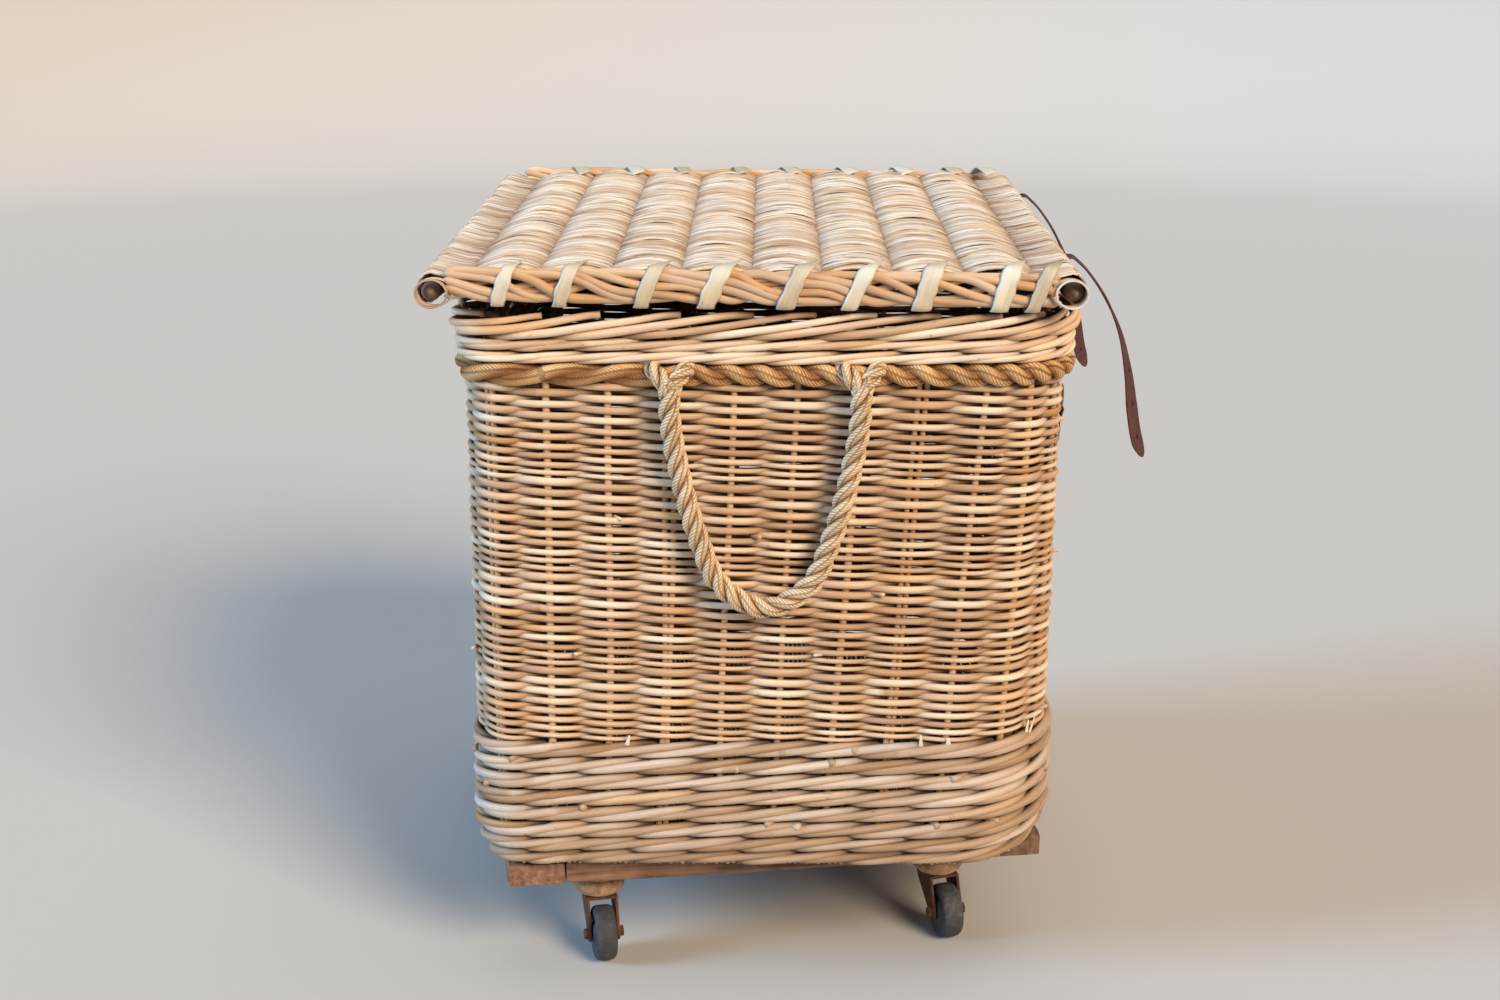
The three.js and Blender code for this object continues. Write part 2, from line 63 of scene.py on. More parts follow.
MM = 0.001
weave_low, weave_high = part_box("side_weave")
foot_low, foot_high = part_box("foot_wale")
rope_low, rope_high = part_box("rope_band")
wale_low, wale_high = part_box("upper_wale")
border_low, border_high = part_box("top_border")
bar_low, bar_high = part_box("lid_end_bar_left")
rear_stick_low, rear_stick_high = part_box("lid_stick_rear")
front_stick_low, front_stick_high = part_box("lid_stick_front")
lid_low, lid_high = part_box("lid_weave")

HALF_X = weave_high.x
HALF_Y = weave_high.y
REAR_RADIUS = 50 * MM
FRONT_RADIUS_TOP = 66 * MM
FRONT_RADIUS_FOOT = 118 * MM
WALL_MIDDLE = -6.8 * MM  # the line of the stakes, from the fine weave's face
STAKES = 42
FIRST_STAKE = 30.5 * MM  # from the rear-left corner, along the left end
STAKE_RADIUS = 3.6 * MM


# -------------------------------------------------------- the basket's wall

def front_radius(z):
    share = (z - foot_low.z) / (border_high.z - foot_low.z)
    return FRONT_RADIUS_FOOT + (FRONT_RADIUS_TOP - FRONT_RADIUS_FOOT) * share


MEAN_RADIUS = (FRONT_RADIUS_TOP + FRONT_RADIUS_FOOT) / 2
QUARTER = math.pi / 2
# the plan's eight stretches, anticlockwise from the left end: side, corner, side, ...
STRETCHES = np.array([
    2 * HALF_X - REAR_RADIUS - MEAN_RADIUS,
    QUARTER * MEAN_RADIUS,
    2 * (HALF_Y - MEAN_RADIUS),
    QUARTER * MEAN_RADIUS,
    2 * HALF_X - REAR_RADIUS - MEAN_RADIUS,
    QUARTER * REAR_RADIUS,
    2 * (HALF_Y - REAR_RADIUS),
    QUARTER * REAR_RADIUS,
])
MARKS = np.concatenate([[0.0], np.cumsum(STRETCHES)])
PERIMETER = MARKS[-1]
BAY = PERIMETER / STAKES
FROM_CORNER = np.array([3, 0, 0, 1, 1, 2, 2, 3])
TO_CORNER = np.array([0, 0, 1, 1, 2, 2, 3, 3])
FROM_ANGLE = np.radians([-90, -90, 0, 0, 90, 90, 180, 180])
TO_ANGLE = np.radians([-90, 0, 0, 90, 90, 180, 180, 270])
CORNER_SIGNS = np.array([[1, -1], [1, 1], [-1, 1], [-1, -1]])


def wall(bay, z, offset):
    """Points on the wall and its outward normals, at a place counted in bays from stake to stake
    anticlockwise from the left end's rear corner, a height, and an offset out of the fine weave's face."""
    bay, z, offset = (np.asarray(a, float) for a in np.broadcast_arrays(bay, z, offset))
    along = np.mod(bay * BAY + FIRST_STAKE, PERIMETER)
    stretch = np.clip(np.searchsorted(MARKS, along, side="right") - 1, 0, 7)
    share = (along - MARKS[stretch]) / STRETCHES[stretch]
    front = front_radius(z)
    ends = []
    for corner in (FROM_CORNER[stretch], TO_CORNER[stretch]):
        signs = CORNER_SIGNS[corner]
        radius = np.where(signs[..., 0] > 0, front, REAR_RADIUS)
        ends.append((signs[..., 0] * (HALF_X - radius), signs[..., 1] * (HALF_Y - radius), radius))
    x, y, radius = (a + (b - a) * share for a, b in zip(*ends))
    angle = FROM_ANGLE[stretch] + (TO_ANGLE[stretch] - FROM_ANGLE[stretch]) * share
    normals = np.stack([np.cos(angle), np.sin(angle), np.zeros_like(angle)], -1)
    centre = np.stack([x, y, z], -1)
    return centre + normals * (radius + offset)[..., None], normals


# ------------------------------------------------------------------ meshes

def unit(vectors):
    return vectors / np.maximum(np.linalg.norm(vectors, axis=-1, keepdims=True), 1e-12)


def joined(x, y, z):
    """Points from their three coordinates, each one number or a row of numbers."""
    return np.stack(np.broadcast_arrays(x, y, z), -1)


def spots(origin, *shifts):
    """Points at shifts from an origin, the shifts in millimetres."""
    return [np.asarray(origin, float) + np.asarray(shift) * MM for shift in shifts]


def in_mm(*points):
    """The points of a flat outline given in millimetres."""
    return [(a * MM, b * MM) for a, b in points]


def distances(points):
    """How far along a row of points each one lies."""
    return np.concatenate([[0.0], np.cumsum(np.linalg.norm(np.diff(points, axis=0), axis=1))])


def rounded(wave, power):
    """A wave between -1 and 1, squarer below a power of 1 and with its sign kept."""
    return np.sign(wave) * np.abs(wave) ** power


GOLDEN_SHARE = 0.6180339  # spreads the seeds of the rods' grain evenly


class Bundle:
    """Many rods in one mesh. Each point keeps where it lies along and round its rod, the rod's tone
    from 0 to 1, and how much painted shade it gets, from 0 to 1, darkest where it lies deep in the weave."""

    def __init__(self):
        self.points, self.loops, self.sizes = [], [], []
        self.rods, self.tones, self.depths = [], [], []
        self.count = 0

    def rod(self, centres, up, radius, tone=0.5, depth=0.0, closed=False, flat=1.0, sides=6, taper=0.0,
            square=1.0, crevice_shade=0.0, core=None):
        """A rod along centres. up is its broad side's normal, flat its thickness as a share of its width,
        and square below 1 turns its oval section into a rounded box. crevice paints shade on its inner and
        back sides. A rope's strand gives the rope's own line and radius as core, and gets painted shade where
        it lies close to that line, in the grooves between strands."""
        centres = np.asarray(centres, float)
        n = len(centres)
        up = np.broadcast_to(np.asarray(up, float), (n, 3))
        if closed:
            tangent = np.roll(centres, -1, 0) - np.roll(centres, 1, 0)
        else:
            tangent = np.gradient(centres, axis=0)
        tangent = unit(tangent)
        side = unit(np.cross(tangent, up))
        up = np.cross(side, tangent)
        radius = np.broadcast_to(np.asarray(radius, float), (n,))
        along = distances(centres)
        if taper:
            room = np.minimum(along, along[-1] - along)
            radius = radius * np.sqrt(np.clip(room / taper, 0.02, 1.0))
        angle = np.arange(sides) * 2 * math.pi / sides
        rise = rounded(np.cos(angle), square)
        reach = rounded(np.sin(angle), square)
        ring = (
            centres[:, None]
            + (radius[:, None] * rise)[..., None] * up[:, None] * flat
            + (radius[:, None] * reach)[..., None] * side[:, None]
        )
        start = self.count
        self.points.append(ring.reshape(-1, 3))
        seed = (start * GOLDEN_SHARE) % 97.0
        rod = joined(along[:, None], angle[None] * radius.mean(), seed)
        self.rods.append(rod.reshape(-1, 3))
        # painted shade: a rope's strands darken near the rope's middle line, in the grooves; other rods
        # darken on their inner and back sides and by the amount given
        if core is not None:
            line, reach_out = core
            away = np.linalg.norm(ring - line[:, None], axis=-1) / reach_out
            shade_level = (0.94 - away) / 0.22
        else:
            shade_level = np.clip((0.55 - rise) / 1.1, 0, 1)[None] * crevice_shade
            shade_level = shade_level + np.broadcast_to(np.asarray(depth, float), (n,))[:, None]
        self.tones.append(np.repeat(np.broadcast_to(np.asarray(tone, float), (n,)), sides))
        self.depths.append(np.clip(shade_level, 0, 1).reshape(-1))
        rows = n if closed else n - 1
        i = np.arange(rows)[:, None]
        k = np.arange(sides)[None]
        following = (i + 1) % n
        turn = (k + 1) % sides
        here, ahead = i * sides, following * sides
        quads = np.stack([here + k, ahead + k, ahead + turn, here + turn], -1)
        self.loops.append(start + quads.reshape(-1))
        self.sizes.append(np.full(rows * sides, 4))
        if not closed:
            self.loops.append(start + np.arange(sides))
            self.loops.append(start + (n - 1) * sides + np.arange(sides)[::-1])
            self.sizes.append(np.array([sides, sides]))
        self.count += n * sides

    def strip(self, centres, up, width, thickness, **more):
        """A flat band with rounded edges."""
        self.rod(centres, up, np.asarray(width) / 2, flat=thickness / float(np.mean(width)), sides=8, **more)

    def make(self, name, material, body, slot, replaces=()):
        mesh = new_mesh(name, *(np.concatenate(part) for part in (self.points, self.loops, self.sizes)))
        for label, kind, key, values in (
            ("rod", "FLOAT_VECTOR", "vector", self.rods),
            ("tone", "FLOAT", "value", self.tones),
            ("depth", "FLOAT", "value", self.depths),
        ):
            layer = mesh.attributes.new(label, kind, "POINT")
            layer.data.foreach_set(key, np.concatenate(values).astype(np.float32).reshape(-1))
        return place(name, mesh, material, body, replaces)


def new_mesh(name, points, loops, sizes):
    mesh = bpy.data.meshes.new(name)
    mesh.vertices.add(len(points))
    mesh.vertices.foreach_set("co", np.asarray(points, np.float32).reshape(-1))
    mesh.loops.add(len(loops))
    mesh.loops.foreach_set("vertex_index", np.asarray(loops, np.int32))
    mesh.polygons.add(len(sizes))
    starts = np.concatenate([[0], np.cumsum(sizes)[:-1]])
    mesh.polygons.foreach_set("loop_start", starts.astype(np.int32))
    mesh.polygons.foreach_set("use_smooth", np.ones(len(sizes), bool))
    mesh.update(calc_edges=True)
    return mesh


def place(name, mesh, material, body, replaces=()):
    piece = bpy.data.objects.new(name, mesh)
    bpy.context.scene.collection.objects.link(piece)
    mesh.materials.append(material)
    if body:
        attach(piece, body)
    if replaces:
        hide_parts(*replaces)
    return piece


def wobble(rng, places, wavelength, waves=4):
    """A smooth random line with a height of about 1, over places in the wavelength's own unit."""
    total = np.zeros_like(np.asarray(places, float))
    for _ in range(waves):
        pace = rng.uniform(0.5, 1.6) / wavelength
        total = total + np.sin(2 * math.pi * (pace * np.asarray(places) + rng.random()))
    return total / math.sqrt(waves)


def smooth_path(points, count):
    """count points evenly spaced along a Catmull-Rom curve through the given points."""
    points = [Vector(p) for p in points]
    points = [points[0] * 2 - points[1], *points, points[-1] * 2 - points[-2]]
    fine = []
    for a, b, c, d in zip(points, points[1:], points[2:], points[3:]):
        bend, twist = 2 * a - 5 * b + 4 * c - d, 3 * b - a - 3 * c + d
        for t in np.arange(24) / 24:
            fine.append(0.5 * (2 * b + (c - a) * t + bend * t * t + twist * t**3))
    fine.append(points[-2])
    fine = np.array(fine)
    length = distances(fine)
    even = np.linspace(0, length[-1], count)
    return np.stack([np.interp(even, length, fine[:, k]) for k in range(3)], -1)


# --------------------------------------------------------------- materials

class Nodes:
    """A small helper that adds and links shader nodes."""

    def __init__(self, name, roughness, metallic=0.0):
        self.material = bpy.data.materials.new(name)
        self.material.use_nodes = True
        self.tree = self.material.node_tree
        self.shader = self.tree.nodes["Principled BSDF"]
        self.shader.inputs["Roughness"].default_value = roughness
        self.shader.inputs["Metallic"].default_value = metallic

    def add(self, kind, inputs=None, **settings):
        node = self.tree.nodes.new(kind)
        for key, value in settings.items():
            setattr(node, key, value)
        for key, value in (inputs or {}).items():
            self.feed(node.inputs[key], value)
        return node

    def feed(self, socket, value):
        if isinstance(value, bpy.types.NodeSocket):
            self.tree.links.new(value, socket)
        else:
            socket.default_value = value

    def attribute(self, name, output="Fac"):
        return self.add("ShaderNodeAttribute", attribute_name=name).outputs[output]

    def math(self, operation, a, b=0.0, clamp=False):
        node = self.add("ShaderNodeMath", operation=operation, use_clamp=clamp)
        self.feed(node.inputs[0], a)
        self.feed(node.inputs[1], b)
        return node.outputs[0]

    def scaled(self, vector, scale):
        node = self.add("ShaderNodeVectorMath", operation="MULTIPLY")
        self.feed(node.inputs[0], vector)
        node.inputs[1].default_value = scale
        return node.outputs[0]

    def noise(self, vector, scale=1.0, detail=3.0, roughness=0.55, distortion=0.0):
        inputs = {
            "Vector": vector, "Scale": scale, "Detail": detail,
            "Roughness": roughness, "Distortion": distortion,
        }
        return self.add("ShaderNodeTexNoise", inputs).outputs["Fac"]

    def ramp(self, value, *stops):
        node = self.add("ShaderNodeValToRGB", {"Fac": value})
        elements = node.color_ramp.elements
        while len(elements) < len(stops):
            elements.new(0.5)
        for element, (position, colour) in zip(elements, stops):
            element.position = position
            element.color = (*colour, 1.0)
        return node.outputs["Color"]

    def mix(self, share, a, b, blend="MIX"):
        node = self.add("ShaderNodeMix", data_type="RGBA", blend_type=blend)
        self.feed(node.inputs["Factor"], share)
        for socket, value in ((node.inputs[6], a), (node.inputs[7], b)):
            self.feed(socket, value if isinstance(value, bpy.types.NodeSocket) else (*value, 1.0))
        return node.outputs[2]

    def bump(self, height, distance, strength=1.0):
        inputs = {"Height": height, "Distance": distance, "Strength": strength}
        return self.add("ShaderNodeBump", inputs).outputs["Normal"]

    def finish(self, colour, normal=None, roughness=None):
        self.feed(self.shader.inputs["Base Color"], colour)
        if normal is not None:
            self.feed(self.shader.inputs["Normal"], normal)
        if roughness is not None:
            self.feed(self.shader.inputs["Roughness"], roughness)
        return self.material


def willow_material(name, stops, deep, speckle=0.6, roughness=0.58):
    """Stripped willow: each rod has its own tone, long grain streaks, a few dark knots and
    bruises, and painted shade, multiplied towards the deep colour, where it dives into the weave."""
    m = Nodes(name, roughness)
    rod = m.attribute("rod", "Vector")
    grain = m.noise(m.scaled(rod, (9, 420, 1)), 1.0, 4.0, 0.6)
    patches = m.noise(m.scaled(rod, (22, 60, 1)), 1.0, 2.0)
    tone = m.math("ADD", m.attribute("tone"), m.math("MULTIPLY", m.math("SUBTRACT", patches, 0.5), 0.55))
    tone = m.math("ADD", tone, m.math("MULTIPLY", m.math("SUBTRACT", grain, 0.5), 0.5), clamp=True)
    colour = m.ramp(tone, *stops)
    hue = m.noise(m.scaled(rod, (4.5, 0, 7.3)), 1.0, 1.0)
    amber = m.ramp(hue, (0.0, (0, 0, 0)), (0.56, (0, 0, 0)), (0.68, (1, 1, 1)))
    grey = m.ramp(hue, (0.0, (1, 1, 1)), (0.32, (1, 1, 1)), (0.44, (0, 0, 0)))
    colour = m.mix(m.math("MULTIPLY", amber, 0.75), colour, (1.0, 0.80, 0.52), "MULTIPLY")
    colour = m.mix(m.math("MULTIPLY", grey, 0.75), colour, (0.86, 0.86, 0.92), "MULTIPLY")
    # painted shade: the colour darkens towards the deep colour where the weave is recessed or a rod turns
    # away
    colour = m.mix(m.math("MULTIPLY", m.attribute("depth"), 0.9), colour, deep, "MULTIPLY")
    spots = m.noise(m.scaled(rod, (95, 260, 3)), 1.0, 1.0)
    spots = m.ramp(spots, (0.0, (0, 0, 0)), (0.71, (0, 0, 0)), (0.78, (1, 1, 1)))
    colour = m.mix(m.math("MULTIPLY", spots, speckle), colour, (0.16, 0.09, 0.05))
    return m.finish(colour, m.bump(grain, 0.0006, 0.5))


def fibre_material(name, stops):
    """Laid rope yarn: fine fibres that run along each yarn, a fuzzy, dusty surface, and painted shade in the
    grooves between the strands.
    """
    m = Nodes(name, 0.85)
    rod = m.attribute("rod", "Vector")
    slant = m.add("ShaderNodeCombineXYZ")
    parts = m.add("ShaderNodeSeparateXYZ", {"Vector": rod})
    m.feed(slant.inputs[0], m.math("ADD", parts.outputs[0], m.math("MULTIPLY", parts.outputs[1], -1.0)))
    m.feed(slant.inputs[1], parts.outputs[1])
    m.feed(slant.inputs[2], parts.outputs[2])
    yarn = m.add("ShaderNodeTexWave", {"Vector": slant.outputs[0], "Scale": 95.0, "Distortion": 1.2,
                                       "Detail": 2.0, "Detail Scale": 3.0}).outputs["Fac"]
    fibres = m.noise(m.scaled(slant.outputs[0], (900, 90, 1)), 1.0, 3.0)
    level = m.math("ADD", m.math("MULTIPLY", yarn, 0.45), m.math("MULTIPLY", fibres, 0.55))
    tone = m.math("ADD", level, m.math("SUBTRACT", m.attribute("tone"), 0.5), clamp=True)
    # painted shade: the yarn darkens in the grooves between strands, close to the rope's middle line
    colour = m.mix(m.attribute("depth"), m.ramp(tone, *stops), (0.45, 0.32, 0.21), "MULTIPLY")
    return m.finish(colour, m.bump(level, 0.0012, 0.9))


# the last colour given to each willow material below is its painted shade colour for the weave's recesses
WILLOW = willow_material("willow_tan", (
    (0.0, (0.30, 0.16, 0.08)), (0.3, (0.54, 0.34, 0.20)),
    (0.6, (0.72, 0.51, 0.34)), (1.0, (0.88, 0.75, 0.60)),
), (0.12, 0.055, 0.022))
PALE_WILLOW = willow_material("willow_pale", (
    (0.0, (0.22, 0.11, 0.045)), (0.3, (0.37, 0.235, 0.135)),
    (0.6, (0.48, 0.345, 0.245)), (1.0, (0.66, 0.56, 0.48)),
), (0.10, 0.045, 0.018))
LID_WILLOW = willow_material("lid_skein", (
    (0.0, (0.20, 0.10, 0.05)), (0.3, (0.43, 0.305, 0.21)),
    (0.6, (0.59, 0.475, 0.37)), (1.0, (0.78, 0.72, 0.65)),
), (0.26, 0.14, 0.065), speckle=0.75, roughness=0.5)
SKEIN = willow_material("binding_skein", (
    (0.0, (0.36, 0.27, 0.17)), (0.4, (0.55, 0.46, 0.33)), (1.0, (0.74, 0.69, 0.58)),
), (0.6, 0.5, 0.4), speckle=0.8, roughness=0.42)
STAKE_WILLOW = willow_material("stake_willow", (
    (0.0, (0.38, 0.22, 0.10)), (0.5, (0.58, 0.37, 0.20)), (1.0, (0.70, 0.50, 0.31)),
), (0.6, 0.45, 0.3))
BARK = willow_material("bark_stick", (
    (0.0, (0.07, 0.045, 0.03)), (0.5, (0.16, 0.11, 0.08)), (1.0, (0.30, 0.23, 0.18)),
), (0.6, 0.5, 0.4))
SISAL = fibre_material("sisal_yarn", (
    (0.0, (0.20, 0.09, 0.03)), (0.4, (0.56, 0.31, 0.125)),
    (0.7, (0.80, 0.50, 0.235)), (1.0, (0.92, 0.70, 0.41)),
))
MANILA = fibre_material("manila_rope", (
    (0.0, (0.22, 0.13, 0.06)), (0.4, (0.58, 0.40, 0.24)),
    (0.7, (0.80, 0.61, 0.40)), (1.0, (0.92, 0.77, 0.57)),
))


def worn_material(name, coordinates, stretch, stops, roughness, relief, metallic=0.0):
    """A worn solid: two layers of noise stretched along its grain set the colour and the relief."""
    m = Nodes(name, roughness[0], metallic)
    if coordinates == "object":
        spot = m.add("ShaderNodeTexCoord").outputs["Object"]
    else:
        spot = m.attribute(coordinates, "Vector")
    fine = m.noise(m.scaled(spot, stretch), 1.0, 6.0, 0.65, 0.3)
    broad = m.noise(spot, 26.0, 3.0)
    level = m.math("ADD", m.math("MULTIPLY", fine, 0.62), m.math("MULTIPLY", broad, 0.38), clamp=True)
    colour = m.ramp(level, *stops)
    rough = m.math("ADD", roughness[0], m.math("MULTIPLY", fine, roughness[1] - roughness[0]))
    return m.finish(colour, m.bump(level, relief, 0.8), rough)


LEATHER = worn_material("old_leather", "object", (260, 260, 260), (
    (0.25, (0.030, 0.010, 0.010)), (0.5, (0.075, 0.025, 0.020)), (0.72, (0.15, 0.062, 0.045)),
), (0.42, 0.62), 0.0004)
# near-black painted shade for the closing straps' punched openings, standing in for the empty space seen
# through them
HOLE_SHADE = worn_material("hole_painted_shade", "object", (200, 200, 200), (
    (0.3, (0.004, 0.003, 0.003)), (0.7, (0.012, 0.008, 0.007)),
), (0.8, 0.9), 0.0001)
BOARD = worn_material("worn_board", "grain", (7, 150, 150), (
    (0.28, (0.028, 0.013, 0.008)), (0.43, (0.12, 0.055, 0.030)), (0.56, (0.24, 0.125, 0.070)),
    (0.72, (0.42, 0.28, 0.18)),
), (0.55, 0.8), 0.0009)
RUST = worn_material("rusty_steel", "object", (150, 150, 150), (
    (0.3, (0.022, 0.012, 0.009)), (0.48, (0.085, 0.036, 0.018)), (0.62, (0.17, 0.070, 0.030)),
    (0.78, (0.27, 0.15, 0.08)),
), (0.55, 0.85), 0.0007, metallic=0.35)
DOME = worn_material("dirty_dome", "object", (120, 120, 120), (
    (0.3, (0.12, 0.06, 0.028)), (0.45, (0.30, 0.18, 0.09)), (0.6, (0.48, 0.33, 0.18)),
    (0.78, (0.66, 0.52, 0.33)),
), (0.5, 0.8), 0.0006, metallic=0.25)
RUBBER = worn_material("old_rubber", "object", (180, 180, 180), (
    (0.3, (0.014, 0.015, 0.017)), (0.55, (0.042, 0.044, 0.048)), (0.78, (0.14, 0.14, 0.14)),
), (0.6, 0.85), 0.0005)
BRASS = worn_material("aged_brass", "object", (200, 200, 200), (
    (0.3, (0.10, 0.060, 0.022)), (0.55, (0.30, 0.20, 0.085)), (0.78, (0.50, 0.37, 0.18)),
), (0.3, 0.5), 0.0002, metallic=0.9)


# ------------------------------------------------------------------ camera

def add_camera():
    data = bpy.data.cameras.new("camera")
    data.sensor_width = 36
    data.lens = 52.8
    camera = bpy.data.objects.new("camera", data)
    bpy.context.scene.collection.objects.link(camera)
    camera.location = (0.004, -2.367, 1.100)
    camera.rotation_euler = (math.radians(73.97), 0, math.radians(0.526))
    bpy.context.scene.camera = camera


# ------------------------------------------------------------ rope handles

ROPE_RADIUS = 10.5 * MM
HANDLE_SHAPE = ((1.0, 0), (0.99, 0.2), (0.87, 0.46), (0.7, 0.7), (0.47, 0.9), (0, 1.0))
HANDLE_SPREAD = 90 * MM
HANDLE_DROP = 227 * MM
EYE_RADIUS = 8.6 * MM
STRANDS = 3


def laid_rope(bundle, path, up, radius, pitch_per_width=2.7, phase=0.0):
    """Three strands wound round each other along a path, as a laid rope."""
    tangent = unit(np.gradient(path, axis=0))
    side = unit(np.cross(tangent, up))
    out = np.cross(side, tangent)
    length = distances(path)
    strand = radius * 0.475
    turn = 2 * math.pi * length / (pitch_per_width * 2 * radius)
    for k in range(STRANDS):
        angle = (phase + turn + 2 * math.pi * k / STRANDS)[:, None]
        centre = path + (radius - strand) * (np.cos(angle) * out + np.sin(angle) * side)
        shade = 0.5 + 0.08 * wobble(np.random.default_rng(900 + k), length, 0.05)
        # painted shade in the rope's grooves, where each strand lies close to the rope's middle line
        bundle.rod(centre, out, strand * 1.03, tone=shade, sides=18, core=(path, radius))


def add_rope_handles():
    for end, sign in (("left", -1), ("right", 1)):
        low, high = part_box(f"rope_handle_{end}")
        y = (low.y + high.y) / 2
        top = (rope_low.z + rope_high.z) / 2
        half = [(a * HANDLE_SPREAD, top - d * HANDLE_DROP) for a, d in HANDLE_SHAPE]
        points = [(-x, y, z) for x, z in half] + [(x, y, z) for x, z in half[-2::-1]]
        path = smooth_path(points, 150)
        bundle = Bundle()
        laid_rope(bundle, path, (0, sign, 0), ROPE_RADIUS)
        name = f"rope_handle_{end}_rope"
        rope = bundle.make(name, MANILA, f"rope_handle_{end}", "manila", [f"rope_handle_{end}"])
        add_handle_eyes(end, sign, y, top)


def add_handle_eyes(end, sign, y, top):
    """Over each leg the rope opens into an eye round one stake, under the upper wale."""
    bundle = Bundle()
    for leg in (-1, 1):
        for side in (-1, 1):
            points = spots((leg * HANDLE_SPREAD, y, top), (2 * side, 0, -13), (6 * side, 0.5 * sign, -4),
                           (14 * side, -6 * sign, 5), (18 * side, -24 * sign, 7))
            laid_rope(bundle, smooth_path(points, 26), (0, sign, 0), EYE_RADIUS, 2.4, side)
    bundle.make(f"rope_handle_{end}_eyes", MANILA, "basket", "manila")


# ------------------------------------------------------------- side weave

COURSE_TOPS = (0.0, 0.252, 0.516, 0.786, 1.0)  # shares of the weave's height, from the top down
ROWS_PER_COURSE = (19, 20, 20, 16)
THICK_ROD = 7.3 * MM  # at a course's top, where its rods' butts lie
THIN_ROD = 4.3 * MM  # at its foot, where their tips lie
WEAVE_REACH = 4.5 * MM  # how far a rod swings out and in from the stakes
POINTS_PER_BAY = 7
RING_BAYS = np.arange(STAKES * POINTS_PER_BAY) / POINTS_PER_BAY


def sag(bay):
    """The rows hang a little lower in the middle of each end and side."""
    points, normals = wall(bay, np.full_like(np.asarray(bay, float), 0.45), 0.0)
    across = np.where(np.abs(normals[:, 1]) > 0.7, points[:, 0] / HALF_X, points[:, 1] / HALF_Y)
    return -4.0 * MM * np.clip(1 - across**2, 0, 1)


def add_side_weave():
    height = weave_high.z - weave_low.z
    bays = RING_BAYS
    dip = sag(bays)
    row_number = 0
    for course, rows in enumerate(ROWS_PER_COURSE):
        rng = np.random.default_rng(40 + course)
        top = weave_high.z - height * COURSE_TOPS[course]
        bottom = weave_high.z - height * COURSE_TOPS[course + 1]
        share = (np.arange(rows) + 0.5) / rows
        thickness = THICK_ROD - (THICK_ROD - THIN_ROD) * share**1.6
        pitch = 0.9 * MM + 0.6 * thickness
        pitch *= (top - bottom) / pitch.sum()
        levels = top - np.cumsum(pitch) + pitch / 2
        bundle = Bundle()
        for level, thick in zip(levels, thickness):
            row_number += 1
            swing = rounded(np.cos(math.pi * (bays + row_number)), 0.85)
            ease = math.sin(math.pi * (level - weave_low.z) / height) ** 0.6
            z = level + dip * ease + 0.35 * MM * wobble(rng, bays, 5.0)
            z = z - 0.8 * MM * np.sin(math.pi * (bays + row_number))
            reach = WEAVE_REACH + 0.5 * MM * wobble(rng, bays, 1.7)
            radius = thick / 2 * (1.07 + 0.07 * wobble(rng, bays, 9.0))
            tone = rod_tones(rng, bays)
            centre, normal = wall(bays, z, WALL_MIDDLE + swing * reach)
            # painted shade where the rod swings in behind a stake; the rod also gets painted shade on its
            # inner side
            depth = np.clip(0.5 - 0.5 * swing, 0, 1) ** 1.3
            bundle.rod(centre, normal, radius, tone=tone, depth=depth, closed=True, crevice_shade=0.75)
        name = f"side_weave_course_{course + 1}"
        bundle.make(name, WILLOW, "basket", "willow", ["side_weave"] if course == 0 else ())


def rod_tones(rng, bays):
    """Each rod is about 20 bays long, and the next one joined in has a tone of its own."""
    tone = np.full(len(bays), rng.uniform(0.25, 0.8))
    for _ in range(2):
        start = rng.integers(0, len(bays))
        span = rng.integers(60, 150)
        tone[np.arange(start, start + span) % len(bays)] = rng.uniform(0.2, 0.85)
    return tone


def add_stakes():
    """Upright stakes, some of them doubled, from the foot to the border."""
    rng = np.random.default_rng(11)
    bundle = Bundle()
    heights = np.linspace(foot_low.z + 30 * MM, border_low.z + 4 * MM, 40)
    for stake in range(STAKES):
        pair = (-0.055, 0.055) if stake % 7 in (2, 6) else (0.0,)
        for shift in pair:
            lean = 0.02 * wobble(rng, heights, 0.5)
            centre, normal = wall(stake + shift + lean, heights, WALL_MIDDLE + 0.3 * MM)
            radius = STAKE_RADIUS * (0.82 if len(pair) > 1 else 1.0) * rng.uniform(0.92, 1.1)
            # a little painted shade, even all along each stake
            bundle.rod(centre, normal, radius, tone=rng.uniform(0.3, 0.9), depth=0.15, sides=8)
    bundle.make("stakes", STAKE_WILLOW, "basket", "willow")


# ------------------------------------------------------------ thick waling

